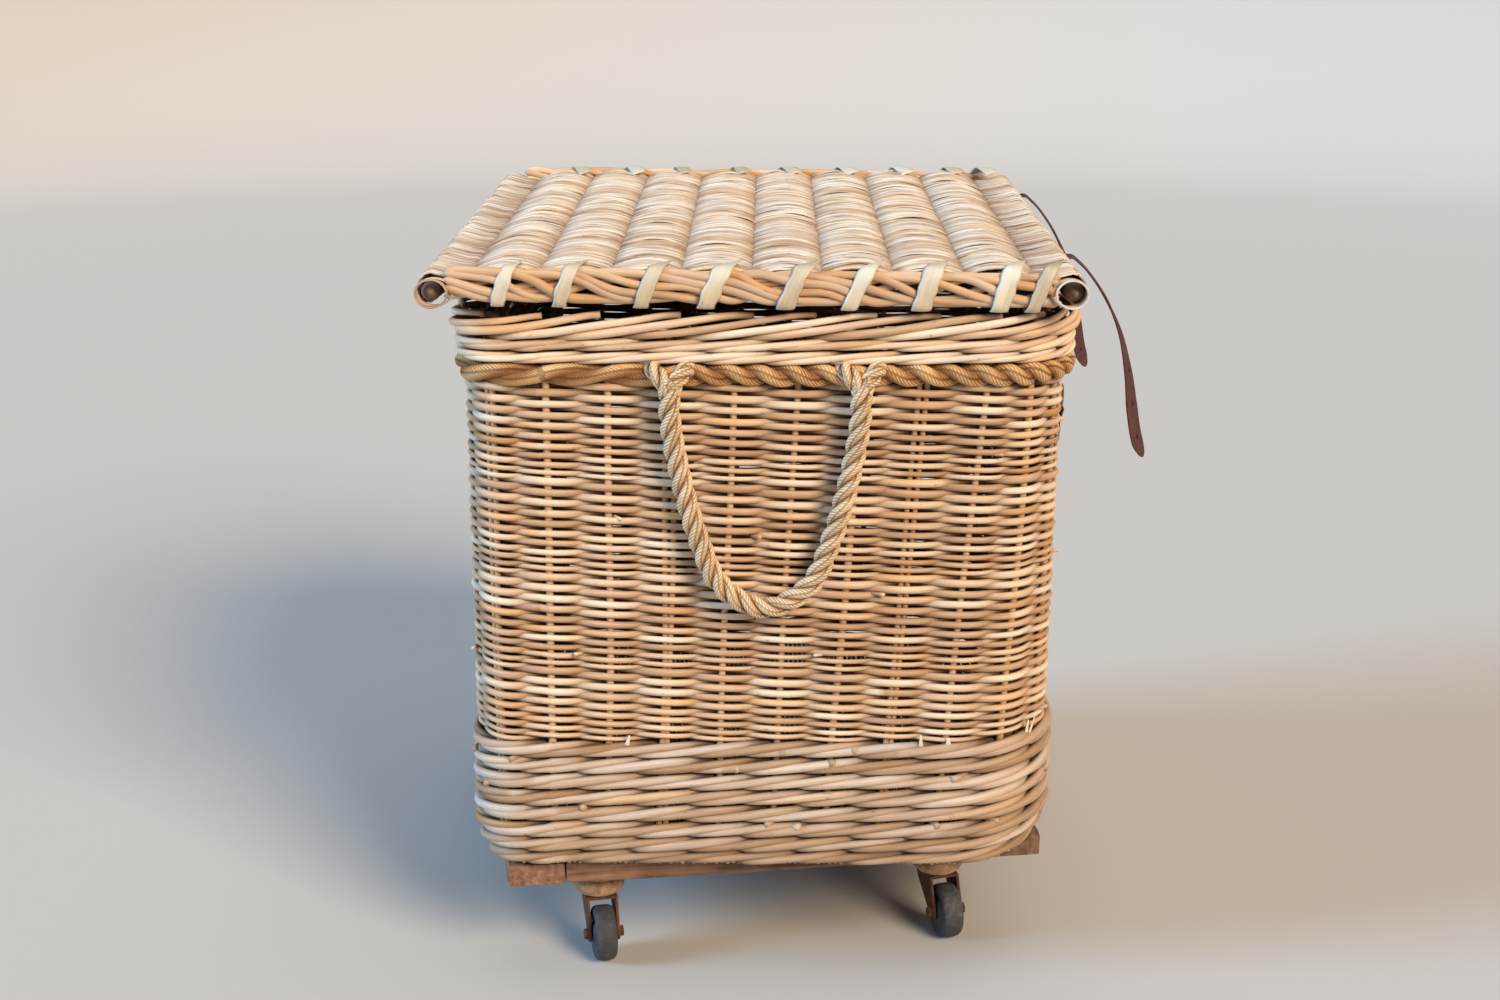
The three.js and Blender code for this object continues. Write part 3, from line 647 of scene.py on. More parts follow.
def add_waling(name, z_low, z_high, rows, rod, proud, material, slot, node, seed, tuck=0):
    """Three-rod waling: every rod passes in front of two stakes and behind the next, rising over the others
    as it goes. The lowest rows tuck in under the basket."""
    rng = np.random.default_rng(seed)
    bays = RING_BAYS
    pitch = (z_high - z_low) / rows
    bundle = Bundle()
    for row in range(rows):
        level = z_low + (row + 0.5) * pitch
        tucked = max(0, tuck - row) ** 1.5 * 4.4 * MM
        for weaver in range(3):
            stroke = np.mod(bays - weaver, 3.0)
            front = np.clip(np.minimum(stroke, 3 - stroke) / 0.66, 0, 1)
            front = 0.5 - 0.5 * np.cos(math.pi * front)
            rise = np.where(stroke > 2.5, stroke - 3.0, stroke)
            rise = np.where(rise < 0.5, -2 * rise, rise - 1.5)
            climb = np.sin(rise * 1.25) / math.sin(1.25) * pitch * 0.3
            z = level + climb + 0.7 * MM * wobble(rng, bays, 6.0)
            away = np.abs(stroke - 1.5)
            outer = proud - rod - 3.2 * MM * np.clip(away, 0, 1) ** 1.5 - tucked
            inner = WALL_MIDDLE - STAKE_RADIUS - rod * 0.7 - tucked
            offset = inner + (outer - inner) * front + 0.5 * MM * wobble(rng, bays, 2.0)
            thick = rod * (1.04 + 0.10 * wobble(rng, bays, 11.0) - 0.16 * np.clip(away, 0, 1) ** 2)
            centre, normal = wall(bays, z, offset)
            # painted shade where the stroke goes in behind a stake and towards its tucked ends, and on the
            # rod's inner side
            depth = (1 - front) * 1.3 + 0.9 * np.clip(away - 0.6, 0, 1)
            tone = rod_tones(rng, bays)
            bundle.rod(centre, normal, thick, tone=tone, depth=depth, closed=True, sides=10, crevice_shade=1.0)
    bundle.make(name, material, "basket", slot, [node])


def add_foot_and_wales():
    add_waling("foot_waling", foot_low.z + 5 * MM, foot_high.z, 8, 4.3 * MM, 6.2 * MM,
               PALE_WILLOW, "pale_willow", "foot_wale", 21, tuck=2)
    add_waling("upper_waling", wale_low.z, wale_high.z, 2, 3.35 * MM, 10.0 * MM,
               WILLOW, "willow", "upper_wale", 22)


# ---------------------------------------------- cut ends, rope band, border

def add_cut_ends():
    """Ends of rods, cut off where the next one was joined in, and a few slivers above the foot."""
    rng = np.random.default_rng(61)
    for name, material, slot, count, low, high, proud, radius in (
        ("foot_cut_ends", PALE_WILLOW, "pale_willow", 44, foot_low.z + 24 * MM, weave_low.z - 8 * MM,
         5.5 * MM, 3.5 * MM),
        ("side_cut_ends", WILLOW, "willow", 60, weave_low.z + 12 * MM, weave_high.z - 12 * MM,
         2.5 * MM, 1.9 * MM),
    ):
        bundle = Bundle()
        for _ in range(count):
            reach = np.linspace(0, rng.uniform(0.12, 0.26), 5) * rng.choice((-1, 1))
            z = rng.uniform(low, high) + np.linspace(0, rng.uniform(-3, 3) * MM, 5)
            centre, normal = wall(rng.uniform(0, STAKES) + reach, z, np.linspace(-6 * MM, proud, 5))
            # painted shade where the cut end goes into the weave, fading out towards its tip
            bundle.rod(centre, normal, radius * rng.uniform(0.8, 1.15), tone=rng.uniform(0.3, 0.75),
                       depth=np.linspace(0.8, 0, 5), sides=8)
        bundle.make(name, material, "basket", slot)
    bundle = Bundle()
    for _ in range(9):
        z = weave_low.z + np.linspace(-6, rng.uniform(5, 13), 5) * MM
        bay = rng.uniform(0, STAKES) + np.linspace(0, rng.uniform(-0.08, 0.08), 5)
        centre, normal = wall(bay, z, np.linspace(0.5, 3.5, 5) * MM)
        width = np.linspace(1, 0.3, 5) * rng.uniform(5, 8) * MM
        bundle.strip(centre, normal, width, 1.4 * MM, tone=1.0)
    bundle.make("foot_slivers", SKEIN, "basket", "pale_willow")


BAND_RADIUS = 7.0 * MM
BAND_CORE = 11.5 * MM


def add_rope_band():
    """Two soft sisal strands twined round each stake, with longer turns, laid the other way, near the
    first stake."""
    per_bay = 12
    bays = np.arange(STAKES * per_bay) / per_bay
    middle = (rope_low.z + rope_high.z) / 2
    near_first = (bays < 2.4) | (bays > STAKES - 3)
    rate = np.where(near_first, 0.5, -1.0)
    turns = np.cumsum(rate) / per_bay
    turns = turns * round(turns[-1]) / turns[-1]
    bundle = Bundle()
    rng = np.random.default_rng(31)
    for strand in range(2):
        angle = 2 * math.pi * turns + math.pi * strand
        z = middle + 4.6 * MM * np.sin(angle) + 0.6 * MM * wobble(rng, bays, 3.0)
        offset = 0.5 * MM + 4.4 * MM * np.cos(angle)
        centre, normal = wall(bays, z, offset)
        tone = 0.5 + 0.1 * wobble(rng, bays, 4.0)
        radius = BAND_RADIUS * (1 + 0.07 * wobble(rng, bays, 1.5))
        # painted shade in the twist's grooves, where a strand lies close to the band's middle line
        line, _ = wall(bays, np.full_like(bays, middle), 0.5 * MM)
        bundle.rod(centre, normal, radius, tone=tone, closed=True, flat=0.85, sides=18,
                   core=(line, BAND_CORE))
    bundle.make("rope_band_strands", SISAL, "basket", "sisal", ["rope_band"])


def add_border():
    """Rolled border: each stake bends over to the right and lies along three bays of the rim, rising
    over the ones before it, with its cut end tucked inside."""
    rng = np.random.default_rng(51)
    bundle = Bundle()
    low, high = border_low.z, border_high.z
    climb = np.array([0.0, 0.4, 0.9, 1.6, 2.3, 2.9, 3.3])
    out = np.array([-6.0, 6.0, 10.5, 10.5, 8.5, 2.5, -6.5]) * MM
    rise = np.array([-0.08, 0.10, 0.22, 0.44, 0.68, 0.85, 0.76])
    steps = np.linspace(0, 3.3, 34)
    for stake in range(STAKES):
        length = rng.uniform(2.9, 3.3)
        reach = steps * length / 3.3
        start = stake + rng.uniform(-0.08, 0.08)
        z = low + (high - low) * np.interp(reach, climb, rise) + 0.5 * MM * wobble(rng, reach, 2.0)
        offset = np.interp(reach, climb, out) + 0.5 * MM * wobble(rng, reach, 2.0)
        z, offset = (
            np.convolve(np.pad(line, 2, mode="edge"), np.ones(5) / 5, mode="valid") for line in (z, offset)
        )
        centre, normal = wall(start + reach, z, offset)
        radius = 3.95 * MM * rng.uniform(0.86, 1.12) * np.interp(reach, [0, 3.3], [1.08, 0.8])
        # painted shade where the border rod lies inward, and on its inner side
        depth = np.clip(1 - (offset + 7 * MM) / (15 * MM), 0, 1)
        bundle.rod(centre, normal, radius, tone=rng.uniform(0.25, 0.9), depth=depth, sides=10, crevice_shade=0.6)
    bundle.make("rolled_border", WILLOW, "basket", "pale_willow", ["top_border"])


# --------------------------------------------------------------------- lid

HUMPS = 10
REAR_X = (rear_stick_low.x + rear_stick_high.x) / 2
FRONT_X = (front_stick_low.x + front_stick_high.x) / 2
HUMP_PITCH = (FRONT_X - REAR_X) / (HUMPS - 1)
EDGE_Z = (rear_stick_low.z + rear_stick_high.z) / 2
EDGE_RADIUS = (rear_stick_high.z - rear_stick_low.z) / 2
WEFT_SWING = 8.0 * MM
WEFT_WIDTH = 6.4 * MM
WEFT_THICKNESS = 1.8 * MM
WEFT_ROWS = 256
WEFT_MIDDLE = lid_high.z - WEFT_SWING - 1.6 * MM


def edge_wrap(stick_x, start, turn):
    """How a weft wraps an edge stick, in (x, z), from a start through a turn in degrees."""
    wrap = EDGE_RADIUS + 2.4 * MM
    angle = np.radians(start + turn * np.arange(7) / 6)
    rise = np.sin(angle)
    return list(stick_x + wrap * np.cos(angle)), list(EDGE_Z + wrap * rise + 4 * MM * np.maximum(0.0, rise))


def weft_line(first_over):
    """One weft across the lid in (x, z): over and under the sticks in turn, and round each edge stick."""
    xs, zs = edge_wrap(REAR_X, 250, -160) if first_over else edge_wrap(REAR_X, 110, 150)
    steps = np.arange(0.3, HUMPS - 1 - 0.29, 0.125)
    for step in steps:
        over = math.cos(math.pi * (step + (0 if first_over else 1)))
        lift = math.copysign(abs(over) ** 0.72, over)
        edge = min(step, HUMPS - 1 - step)
        settle = 1 - 0.45 * max(0.0, 1 - edge)
        xs.append(REAR_X + step * HUMP_PITCH)
        middle = WEFT_MIDDLE + (EDGE_Z - WEFT_MIDDLE) * max(0.0, 1 - edge / 0.9) * 0.6
        zs.append(middle + WEFT_SWING * lift * settle)
    last_over = first_over == (HUMPS % 2 == 1)
    end_xs, end_zs = edge_wrap(FRONT_X, 90, -160) if last_over else edge_wrap(FRONT_X, -80, 150)
    return np.array(xs + end_xs), np.array(zs + end_zs)


def add_lid_weft():
    """Flat skeins across the lid, packed close, so that each stick shows as a long hump."""
    low = lid_low.y + 3 * MM
    pitch = (lid_high.y - lid_low.y - 6 * MM) / (WEFT_ROWS - 1)
    parts = 4
    for part in range(parts):
        rng = np.random.default_rng(70 + part)
        bundle = Bundle()
        for row in range(part * WEFT_ROWS // parts, (part + 1) * WEFT_ROWS // parts):
            x, z = weft_line(row % 2 == 0)
            drift = 1.5 * MM * wobble(rng, x, 0.13)
            y = low + row * pitch + drift
            z = z + 0.5 * MM * wobble(rng, x, 0.09) + rng.uniform(-0.4, 0.4) * MM
            centre = joined(x, np.clip(y, lid_low.y, lid_high.y), z)
            along = unit(np.gradient(centre, axis=0))
            up = np.cross(along, (0, -1, 0))
            up = up + np.array([0, 0.22, 0]) * rng.uniform(-1, 1)
            width = WEFT_WIDTH * rng.uniform(0.7, 1.2)
            # painted shade on the weft where it dips below the humps' crowns, between the sticks
            crown = np.minimum(np.abs(x - REAR_X), np.abs(FRONT_X - x)) / HUMP_PITCH
            crown = lid_high.z - 1.6 * MM - 5 * MM * np.clip(1 - crown, 0, 1)
            depth = np.clip((crown - 2.5 * MM - z) / (9 * MM), 0, 1)
            tone = rng.uniform(0.35, 0.95) + 0.12 * wobble(rng, x, 0.15)
            bundle.strip(centre, up, width, WEFT_THICKNESS, tone=tone, depth=depth)
        nodes = ["lid_weave", "lid_front_edge_wrap"] if part == 0 else ()
        bundle.make(f"lid_weft_{part + 1}", LID_WILLOW, "lid", "willow", nodes)


def add_lid_sticks():
    """The inner sticks under the weft, and the two edge sticks whose ends show."""
    rng = np.random.default_rng(61)
    inner = Bundle()
    y = np.linspace(lid_low.y - 2 * MM, lid_high.y + 2 * MM, 30)
    for stick in range(1, HUMPS - 1):
        x = REAR_X + stick * HUMP_PITCH + 1.2 * MM * wobble(rng, y, 0.5)
        centre = joined(x, y, WEFT_MIDDLE)
        inner.rod(centre, (0, 0, 1), 6.2 * MM, tone=rng.uniform(0.2, 0.6), sides=10)
    inner.make("lid_inner_sticks", BARK, "lid", "bark_stick")
    for name, x in (("rear", REAR_X), ("front", FRONT_X)):
        stick = Bundle()
        y = np.linspace(rear_stick_low.y, rear_stick_high.y, 60)
        centre = joined(x + 0.5 * MM * wobble(rng, y, 0.4), y, EDGE_Z + 0.5 * MM * wobble(rng, y, 0.3))
        radius = (EDGE_RADIUS - 0.6 * MM) * (1 + 0.03 * wobble(rng, y, 0.2))
        stick.rod(centre, (0, 0, 1), radius, tone=0.45, sides=20, taper=1.2 * MM)
        stick.make(f"lid_edge_stick_{name}", BARK, "lid", "bark_stick", [f"lid_stick_{name}"])


def add_lid_ends():
    """Each end is a bundle of rods bound to the sticks with flat skeins."""
    for end, sign, seed in (("left", -1, 81), ("right", 1, 82)):
        rng = np.random.default_rng(seed)
        rods = Bundle()
        x = np.linspace(REAR_X + 13 * MM, FRONT_X - 13 * MM, 120)
        middle_y = sign * (abs(bar_low.y) - 7.5 * MM)
        middle_z = (bar_low.z + bar_high.z) / 2 + 0.5 * MM
        for rod in range(7):
            angle = 2 * math.pi * (x / 0.27 + rod / 7) + 0.35 * wobble(rng, x, 0.15)
            y = middle_y + 3.6 * MM * np.cos(angle)
            z = middle_z + 12.5 * MM * np.sin(angle) - 6 * MM * (x - REAR_X) / (FRONT_X - REAR_X) + 3 * MM
            radius = 4.3 * MM * rng.uniform(0.85, 1.1)
            # a little painted shade, even all along each rod
            rods.rod(joined(x, y, z), (0, sign, 0), radius, tone=rng.uniform(0.3, 0.8), depth=0.1, sides=9,
                     taper=4 * MM)
        rods.make(f"lid_end_rods_{end}", WILLOW, "lid", "pale_willow", [f"lid_end_bar_{end}"])

        ties = Bundle()
        places = [REAR_X + (k + rng.uniform(-0.1, 0.1)) * HUMP_PITCH for k in range(1, HUMPS - 1)]
        places.append(FRONT_X - 30 * MM)
        for place_x in places:
            drop = -6 * MM * (place_x - REAR_X) / (FRONT_X - REAR_X) + 3 * MM
            lean = rng.uniform(0.7, 1.2)
            outer = abs(bar_low.y) + 0.5 * MM
            top, low = bar_high.z + 1.0 * MM, bar_low.z - 1.5 * MM + drop
            points = [
                (place_x + 17 * MM * lean, sign * (outer - 46 * MM), top - 1 * MM),
                (place_x + 13 * MM * lean, sign * (outer - 26 * MM), top + 1 * MM),
                (place_x + 8 * MM * lean, sign * (outer - 7 * MM), top + 0.5 * MM),
                (place_x + 3 * MM * lean, sign * (outer + 0.5 * MM), top - 8 * MM),
                (place_x - 4 * MM * lean, sign * (outer + 1.0 * MM), low + 12 * MM),
                (place_x - 8 * MM * lean, sign * (outer - 2 * MM), low + 1 * MM),
                (place_x - 8 * MM * lean, sign * (outer - 14 * MM), low),
                (place_x - 4 * MM * lean, sign * (outer - 26 * MM), low + 6 * MM),
            ]
            path = smooth_path(points, 34)
            middle = np.array([place_x, sign * (outer - 12 * MM), (top + low) / 2])
            up = path - middle
            up[:, 0] = 0
            width = 16.5 * MM * rng.uniform(0.8, 1.12) * (1 + 0.1 * wobble(rng, path[:, 2], 0.02))
            ties.strip(path, up, width, 1.5 * MM, tone=rng.uniform(0.3, 0.9))
        ties.make(f"lid_end_ties_{end}", SKEIN, "lid", "pale_willow")

        loops = Bundle()
        for x0, inward in ((REAR_X, 1), (FRONT_X, -1)):
            for turn in range(2):
                angle = np.linspace(0, 2 * math.pi, 40, endpoint=False)
                shift = inward * (2.5 + 2 * turn) * MM
                wide = EDGE_RADIUS + abs(shift) + 2.2 * MM
                tall = EDGE_RADIUS + 2.6 * MM + 0.5 * MM * turn
                y = sign * (abs(bar_low.y) + (2.5 - 8 * turn) * MM) + 2.0 * MM * np.sin(angle + 2 * turn)
                x = x0 + shift + wide * np.cos(angle)
                centre = np.stack([x, y, EDGE_Z + tall * np.sin(angle)], -1)
                up = joined(np.cos(angle), 0.0, np.sin(angle))
                width = 8.5 * MM * (1 + 0.12 * np.sin(3 * angle + turn))
                loops.strip(centre, up, width, 2.0 * MM, tone=rng.uniform(0.15, 0.75), closed=True)
        loops.make(f"lid_stick_loops_{end}", LID_WILLOW, "lid", "pale_willow")


# ------------------------------------------------------------ inside floor

def add_basket_floor():
    low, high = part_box("basket_base")
    rng = np.random.default_rng(91)
    bundle = Bundle()
    middle = (low.z + high.z) / 2
    sticks = 11
    stick_pitch = (high.y - low.y) / sticks
    for stick in range(sticks):
        y0 = low.y + (stick + 0.5) * stick_pitch
        inset = 26 * MM if stick in (0, sticks - 1) else 2 * MM
        x = np.linspace(low.x + inset, high.x - inset * 2, 12)
        centre = np.stack([x, np.full_like(x, y0), np.full_like(x, middle)], -1)
        bundle.rod(centre, (0, 0, 1), 3.4 * MM, tone=0.4, sides=8)
    rods = 96
    for rod in range(rods):
        x0 = low.x + (rod + 0.5) * (high.x - low.x) / rods
        corner = REAR_RADIUS if x0 < 0 else FRONT_RADIUS_FOOT
        inset = corner - 14 * MM
        past = max(0.0, abs(x0 - (low.x + high.x) / 2) - ((high.x - low.x) / 2 - inset))
        trim = inset - math.sqrt(max(0.0, inset**2 - past**2)) + 2 * MM
        y = np.linspace(low.y + trim, high.y - trim, 76)
        swing = np.cos(math.pi * ((y - low.y) / stick_pitch - 0.5 + rod))
        z = middle + 2.6 * MM * swing
        centre = np.stack([np.full_like(y, x0), y, z], -1)
        # painted shade, even all along each floor rod
        bundle.rod(centre, (0, 0, 1), 2.9 * MM, tone=rng.uniform(0.2, 0.8), depth=0.3, sides=6)
    bundle.make("basket_floor_weave", WILLOW, "basket", "willow", ["basket_base"])


def add_corner_posts():
    for corner in ("front_left", "front_right", "rear_left", "rear_right"):
        node = f"corner_post_{corner}"
        low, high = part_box(node)
        centre_low, centre_high = post_ends(low, high, corner)
        z = np.linspace(0, 1, 40)[:, None]
        rng = np.random.default_rng(len(corner) + ord(corner[-1]))
        centre = centre_low + (centre_high - centre_low) * z
        centre[:, :2] += 0.4 * MM * np.stack([wobble(rng, z[:, 0], 0.5), wobble(rng, z[:, 0], 0.5)], -1)
        post = Bundle()
        post.rod(centre, (1, 0, 0), 7.4 * MM * (1 + 0.03 * wobble(rng, z[:, 0], 0.2)), tone=0.6, sides=16)
        post.make(f"post_{corner}", BARK, "basket", "bark_stick", [node])


def post_ends(low, high, corner):
    """The bottom and top of a post's middle line. Front posts lean out towards the top."""
    radius = 8 * MM
    sx = 1 if corner.startswith("front") else -1
    sy = 1 if corner.endswith("right") else -1
    near_x, far_x = (low.x + radius, high.x - radius) if sx > 0 else (high.x - radius, low.x + radius)
    near_y, far_y = (low.y + radius, high.y - radius) if sy > 0 else (high.y - radius, low.y + radius)
    return np.array([near_x, near_y, low.z]), np.array([far_x, far_y, high.z])


# ------------------------------------------------------- solids by bmesh

def turned(bm, profile, matrix, segments=48):
    """Turns a profile of (radius, height) about the matrix's z axis."""
    rings = []
    for radius, height in profile:
        count = segments if radius > 1e-6 else 1
        rings.append([
            bm.verts.new(matrix @ Vector((
                radius * math.cos(2 * math.pi * k / segments),
                radius * math.sin(2 * math.pi * k / segments),
                height,
            )))
            for k in range(count)
        ])
    for below, above in zip(rings, rings[1:]):
        for k in range(segments):
            corners = []
            for ring, turn in ((below, k), (below, k + 1), (above, k + 1), (above, k)):
                vertex = ring[turn % len(ring)]
                if vertex not in corners:
                    corners.append(vertex)
            bm.faces.new(corners)


def prism(bm, outline, low, high, matrix, bevel=0.0):
    """Pushes an outline in the matrix's (y, z) along its x axis, and rounds its edges."""
    sides = [[bm.verts.new(matrix @ Vector((x, y, z))) for y, z in outline] for x in (low, high)]
    faces = [bm.faces.new(sides[0][::-1]), bm.faces.new(sides[1])]
    n = len(outline)
    for k in range(n):
        faces.append(bm.faces.new([sides[0][k], sides[0][(k + 1) % n], sides[1][(k + 1) % n], sides[1][k]]))
    if bevel:
        edges = list({edge for face in faces for edge in face.edges})
        bmesh.ops.bevel(bm, geom=edges, offset=bevel, segments=2, affect="EDGES", clamp_overlap=True)


def solid(name, bm, material, body, replaces=(), crease=35):
    bmesh.ops.recalc_face_normals(bm, faces=bm.faces)
    mesh = bpy.data.meshes.new(name)
    bm.to_mesh(mesh)
    bm.free()
    mesh.shade_smooth()
    mesh.set_sharp_from_angle(angle=math.radians(crease))
    return place(name, mesh, material, body, replaces)


JOINTS = {joint["name"]: joint for joint in frame["joints"]}


def joint_place(name):
    return Vector(JOINTS[name]["pos_m"])


# ----------------------------------------------------------------- leather

def leather_strip(bundle, points, up, width, thickness=2.6 * MM, count=60, twist=0.0, tip=0.0):
    """A leather band through the given points. twist turns it towards its far end, and tip points the end."""
    path = smooth_path(points, count)
    share = np.linspace(0, 1, count)
    tangent = unit(np.gradient(path, axis=0))
    side = unit(np.cross(tangent, np.asarray(up, float)))
    face = np.cross(side, tangent)
    angle = math.radians(twist) * np.clip((share - 0.25) / 0.5, 0, 1)
    face = np.cos(angle)[:, None] * face + np.sin(angle)[:, None] * side
    half = np.full(count, width / 2)
    if tip:
        length = np.concatenate([[0.0], np.cumsum(np.linalg.norm(np.diff(path, axis=0), axis=1))])
        half = half * np.clip(0.12 + 0.88 * np.sqrt(np.clip((length[-1] - length) / tip, 0, 1)), 0, 1)
    bundle.rod(path, face, half, flat=thickness / width, sides=16, square=0.35, tone=0.5)
    return path, face


def add_closing_straps():
    for end, turn in (("left", 40), ("right", 48)):
        root = joint_place(f"closing_strap_{end}_swing")
        drops = ((0, 0), (14, -14), (32, -40), (48, -75), (58, -116), (63, -150), (69, -182), (77, -203))
        points = [root + Vector((x * MM, 0, z * MM)) for x, z in drops]
        strap = Bundle()
        width = 19 * MM
        path, face = leather_strip(strap, points, (1, 0, 0.6), width, count=90, twist=turn, tip=16 * MM)
        strap.make(f"closing_strap_{end}_leather", LEATHER, f"closing_strap_{end}", "leather",
                   [f"closing_strap_{end}"])
        # near-black discs at the strap's punched openings: painted shade in place of the empty openings
        hole_shades = bmesh.new()
        for step in (80, 66, 52):
            across = Vector(face[step])
            matrix = across.to_track_quat("Z", "Y").to_matrix().to_4x4()
            matrix.translation = Vector(path[step])
            deep = 1.45 * MM
            turned(hole_shades, ((0, -deep), (2.2 * MM, -deep), (2.2 * MM, deep), (0, deep)), matrix, 20)
        solid(f"closing_strap_{end}_holes", hole_shades, HOLE_SHADE, f"closing_strap_{end}")

        # the strap's root goes in between the wefts, behind the lid's front stick
        root_end = Bundle()
        points = [
            (root.x + 1 * MM, root.y, root.z - 1 * MM),
            (root.x - 3 * MM, root.y, root.z + 1.5 * MM),
            (root.x - 9 * MM, root.y, root.z + 1 * MM),
            (root.x - 16 * MM, root.y, root.z - 3 * MM),
        ]
        leather_strip(root_end, points, (0.5, 0, 1), width, count=24)
        root_end.make(f"closing_strap_{end}_root", LEATHER, "lid", "leather")


def add_buckles():
    for end in ("left", "right"):
        low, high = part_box(f"buckle_frame_{end}")
        chape_low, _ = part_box(f"buckle_chape_{end}")
        y = (low.y + high.y) / 2
        x = (low.x + high.x) / 2
        wire = 1.9 * MM
        wide, tall = (high.y - low.y) / 2 - wire, (high.z - low.z) / 2 - wire
        middle = (low.z + high.z) / 2
        angle = np.linspace(0, 2 * math.pi, 56, endpoint=False)
        power = 0.38
        ring_y = y + wide * np.sign(np.cos(angle)) * np.abs(np.cos(angle)) ** power
        ring_z = middle + tall * np.sign(np.sin(angle)) * np.abs(np.sin(angle)) ** power
        ring = Bundle()
        centre = np.stack([np.full_like(angle, x), ring_y, ring_z], -1)
        ring.rod(centre, (1, 0, 0), wire, closed=True, sides=10)
        ring.make(f"buckle_{end}_ring", BRASS, "basket", "brass", [f"buckle_frame_{end}"])
        tongue = Bundle()
        z = np.linspace(middle - tall, middle + tall + 2.5 * MM, 12)
        bow = 3.1 * MM + 0.6 * MM * np.sin(np.linspace(0, math.pi, 12))
        centre = np.stack([x + bow, np.full_like(z, y), z], -1)
        tongue.rod(centre, (1, 0, 0), 1.3 * MM, sides=10, taper=3 * MM)
        angle = np.linspace(0, 2 * math.pi, 20, endpoint=False)
        eye = 3.1 * MM
        centre = joined(x + eye * np.cos(angle), y, middle - tall + eye * np.sin(angle))
        tongue.rod(centre, (0, 1, 0), 1.1 * MM, closed=True, sides=8)
        tongue.make(f"buckle_{end}_tongue", BRASS, "basket", "brass", [f"buckle_prong_{end}"])
        chape = Bundle()
        face = chape_low.x
        bar = middle - tall
        points = [
            (face - 9 * MM, y, chape_low.z + 9 * MM),
            (face - 1 * MM, y, chape_low.z + 4 * MM),
            (face + 1.8 * MM, y, chape_low.z + 12 * MM),
            (face + 1.8 * MM, y, bar - 14 * MM),
            (face + 2.2 * MM, y, bar - 3 * MM),
            (x - 0.5 * MM, y, bar + 3.3 * MM),
            (x + 3.4 * MM, y, bar),
            (x + 2.6 * MM, y, bar - 5 * MM),
            (face + 4.7 * MM, y, bar - 14 * MM),
            (face + 4.2 * MM, y, bar - 30 * MM),
        ]
        for side in (-1, 1):
            shifted = [(px, py + side * 5.6 * MM, pz) for px, py, pz in points]
            leather_strip(chape, shifted, (1, 0, 0.05), 8.6 * MM, thickness=2.2 * MM, count=70)
        chape.make(f"buckle_{end}_chape", LEATHER, "basket", "leather", [f"buckle_chape_{end}"])
        rivet = bmesh.new()
        for side in (-1, 1):
            matrix = Matrix.Rotation(math.pi / 2, 4, "Y")
            matrix.translation = Vector((face + 5.2 * MM, y + side * 4.5 * MM, bar - 22 * MM))
            turned(rivet, in_mm((3.2, 0), (3.0, 0.7), (1.8, 1.3), (0, 1.5)), matrix, 24)
        solid(f"buckle_{end}_rivets", rivet, BRASS, "basket")


def add_hinge_straps():
    """A soft leather strap that holds the lid's rear stick to the basket's rim."""
    for end in ("left", "right"):
        body_low, body_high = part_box(f"hinge_strap_{end}_body")
        leaf_low, leaf_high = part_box(f"hinge_strap_{end}_lid")
        y = (body_low.y + body_high.y) / 2
        out = (body_low.x + body_high.x) / 2
        leaf = (leaf_low.x + leaf_high.x) / 2
        points = [
            (out + 12 * MM, y, body_low.z + 1 * MM),
            (out + 1 * MM, y, body_low.z + 5 * MM),
            (out, y, body_low.z + 16 * MM),
            (out, y, body_high.z - 10 * MM),
            ((out + leaf) / 2, y, (body_high.z + leaf_low.z) / 2 + 2 * MM),
            (leaf - 1 * MM, y, leaf_low.z + 8 * MM),
            (leaf + 1 * MM, y, leaf_high.z - 9 * MM),
            (leaf + 6 * MM, y, leaf_high.z - 5 * MM),
            (leaf + 12 * MM, y, leaf_high.z - 6 * MM),
        ]
        strap = Bundle()
        leather_strip(strap, points, (-1, 0, 0.3), body_high.y - body_low.y, thickness=3 * MM, count=110)
        piece = strap.make(f"hinge_strap_{end}", LEATHER, None, "leather",
                           [f"hinge_strap_{end}_body", f"hinge_strap_{end}_lid"])
        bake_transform(piece)
        rivets = bmesh.new()
        for side in (-1, 1):
            matrix = Matrix.Rotation(-math.pi / 2, 4, "Y")
            matrix.translation = Vector((out - 1.2 * MM, y + side * 7 * MM, body_low.z + 20 * MM))
            turned(rivets, in_mm((3.6, 0), (3.3, 0.8), (1.8, 1.4), (0, 1.6)), matrix, 24)
        solid(f"hinge_rivets_{end}", rivets, BRASS, "basket")


# ------------------------------------------------------------------- dolly

def dolly_axes():
    """The dolly's own x and y directions, from its front runner, which lies along its y."""
    points = np.array([v.co[:] for v in frame["nodes"]["dolly_runner_front"].data.vertices])
    start = points[points[:, 1].argmin()]
    far = points[points[:, 0].argmin()]
    along = far - start
    along[2] = 0
    if abs(along[0]) > abs(along[1]):
        along = np.array([-along[1], along[0], 0.0])
    along = unit(along)
    return np.array([along[1], -along[0], 0.0]), along


def turned_box(node, axes):
    points = np.array([v.co[:] for v in frame["nodes"][node].data.vertices])
    spans = [(float((points @ axis).min()), float((points @ axis).max())) for axis in axes]
    return spans, (float(points[:, 2].min()), float(points[:, 2].max()))


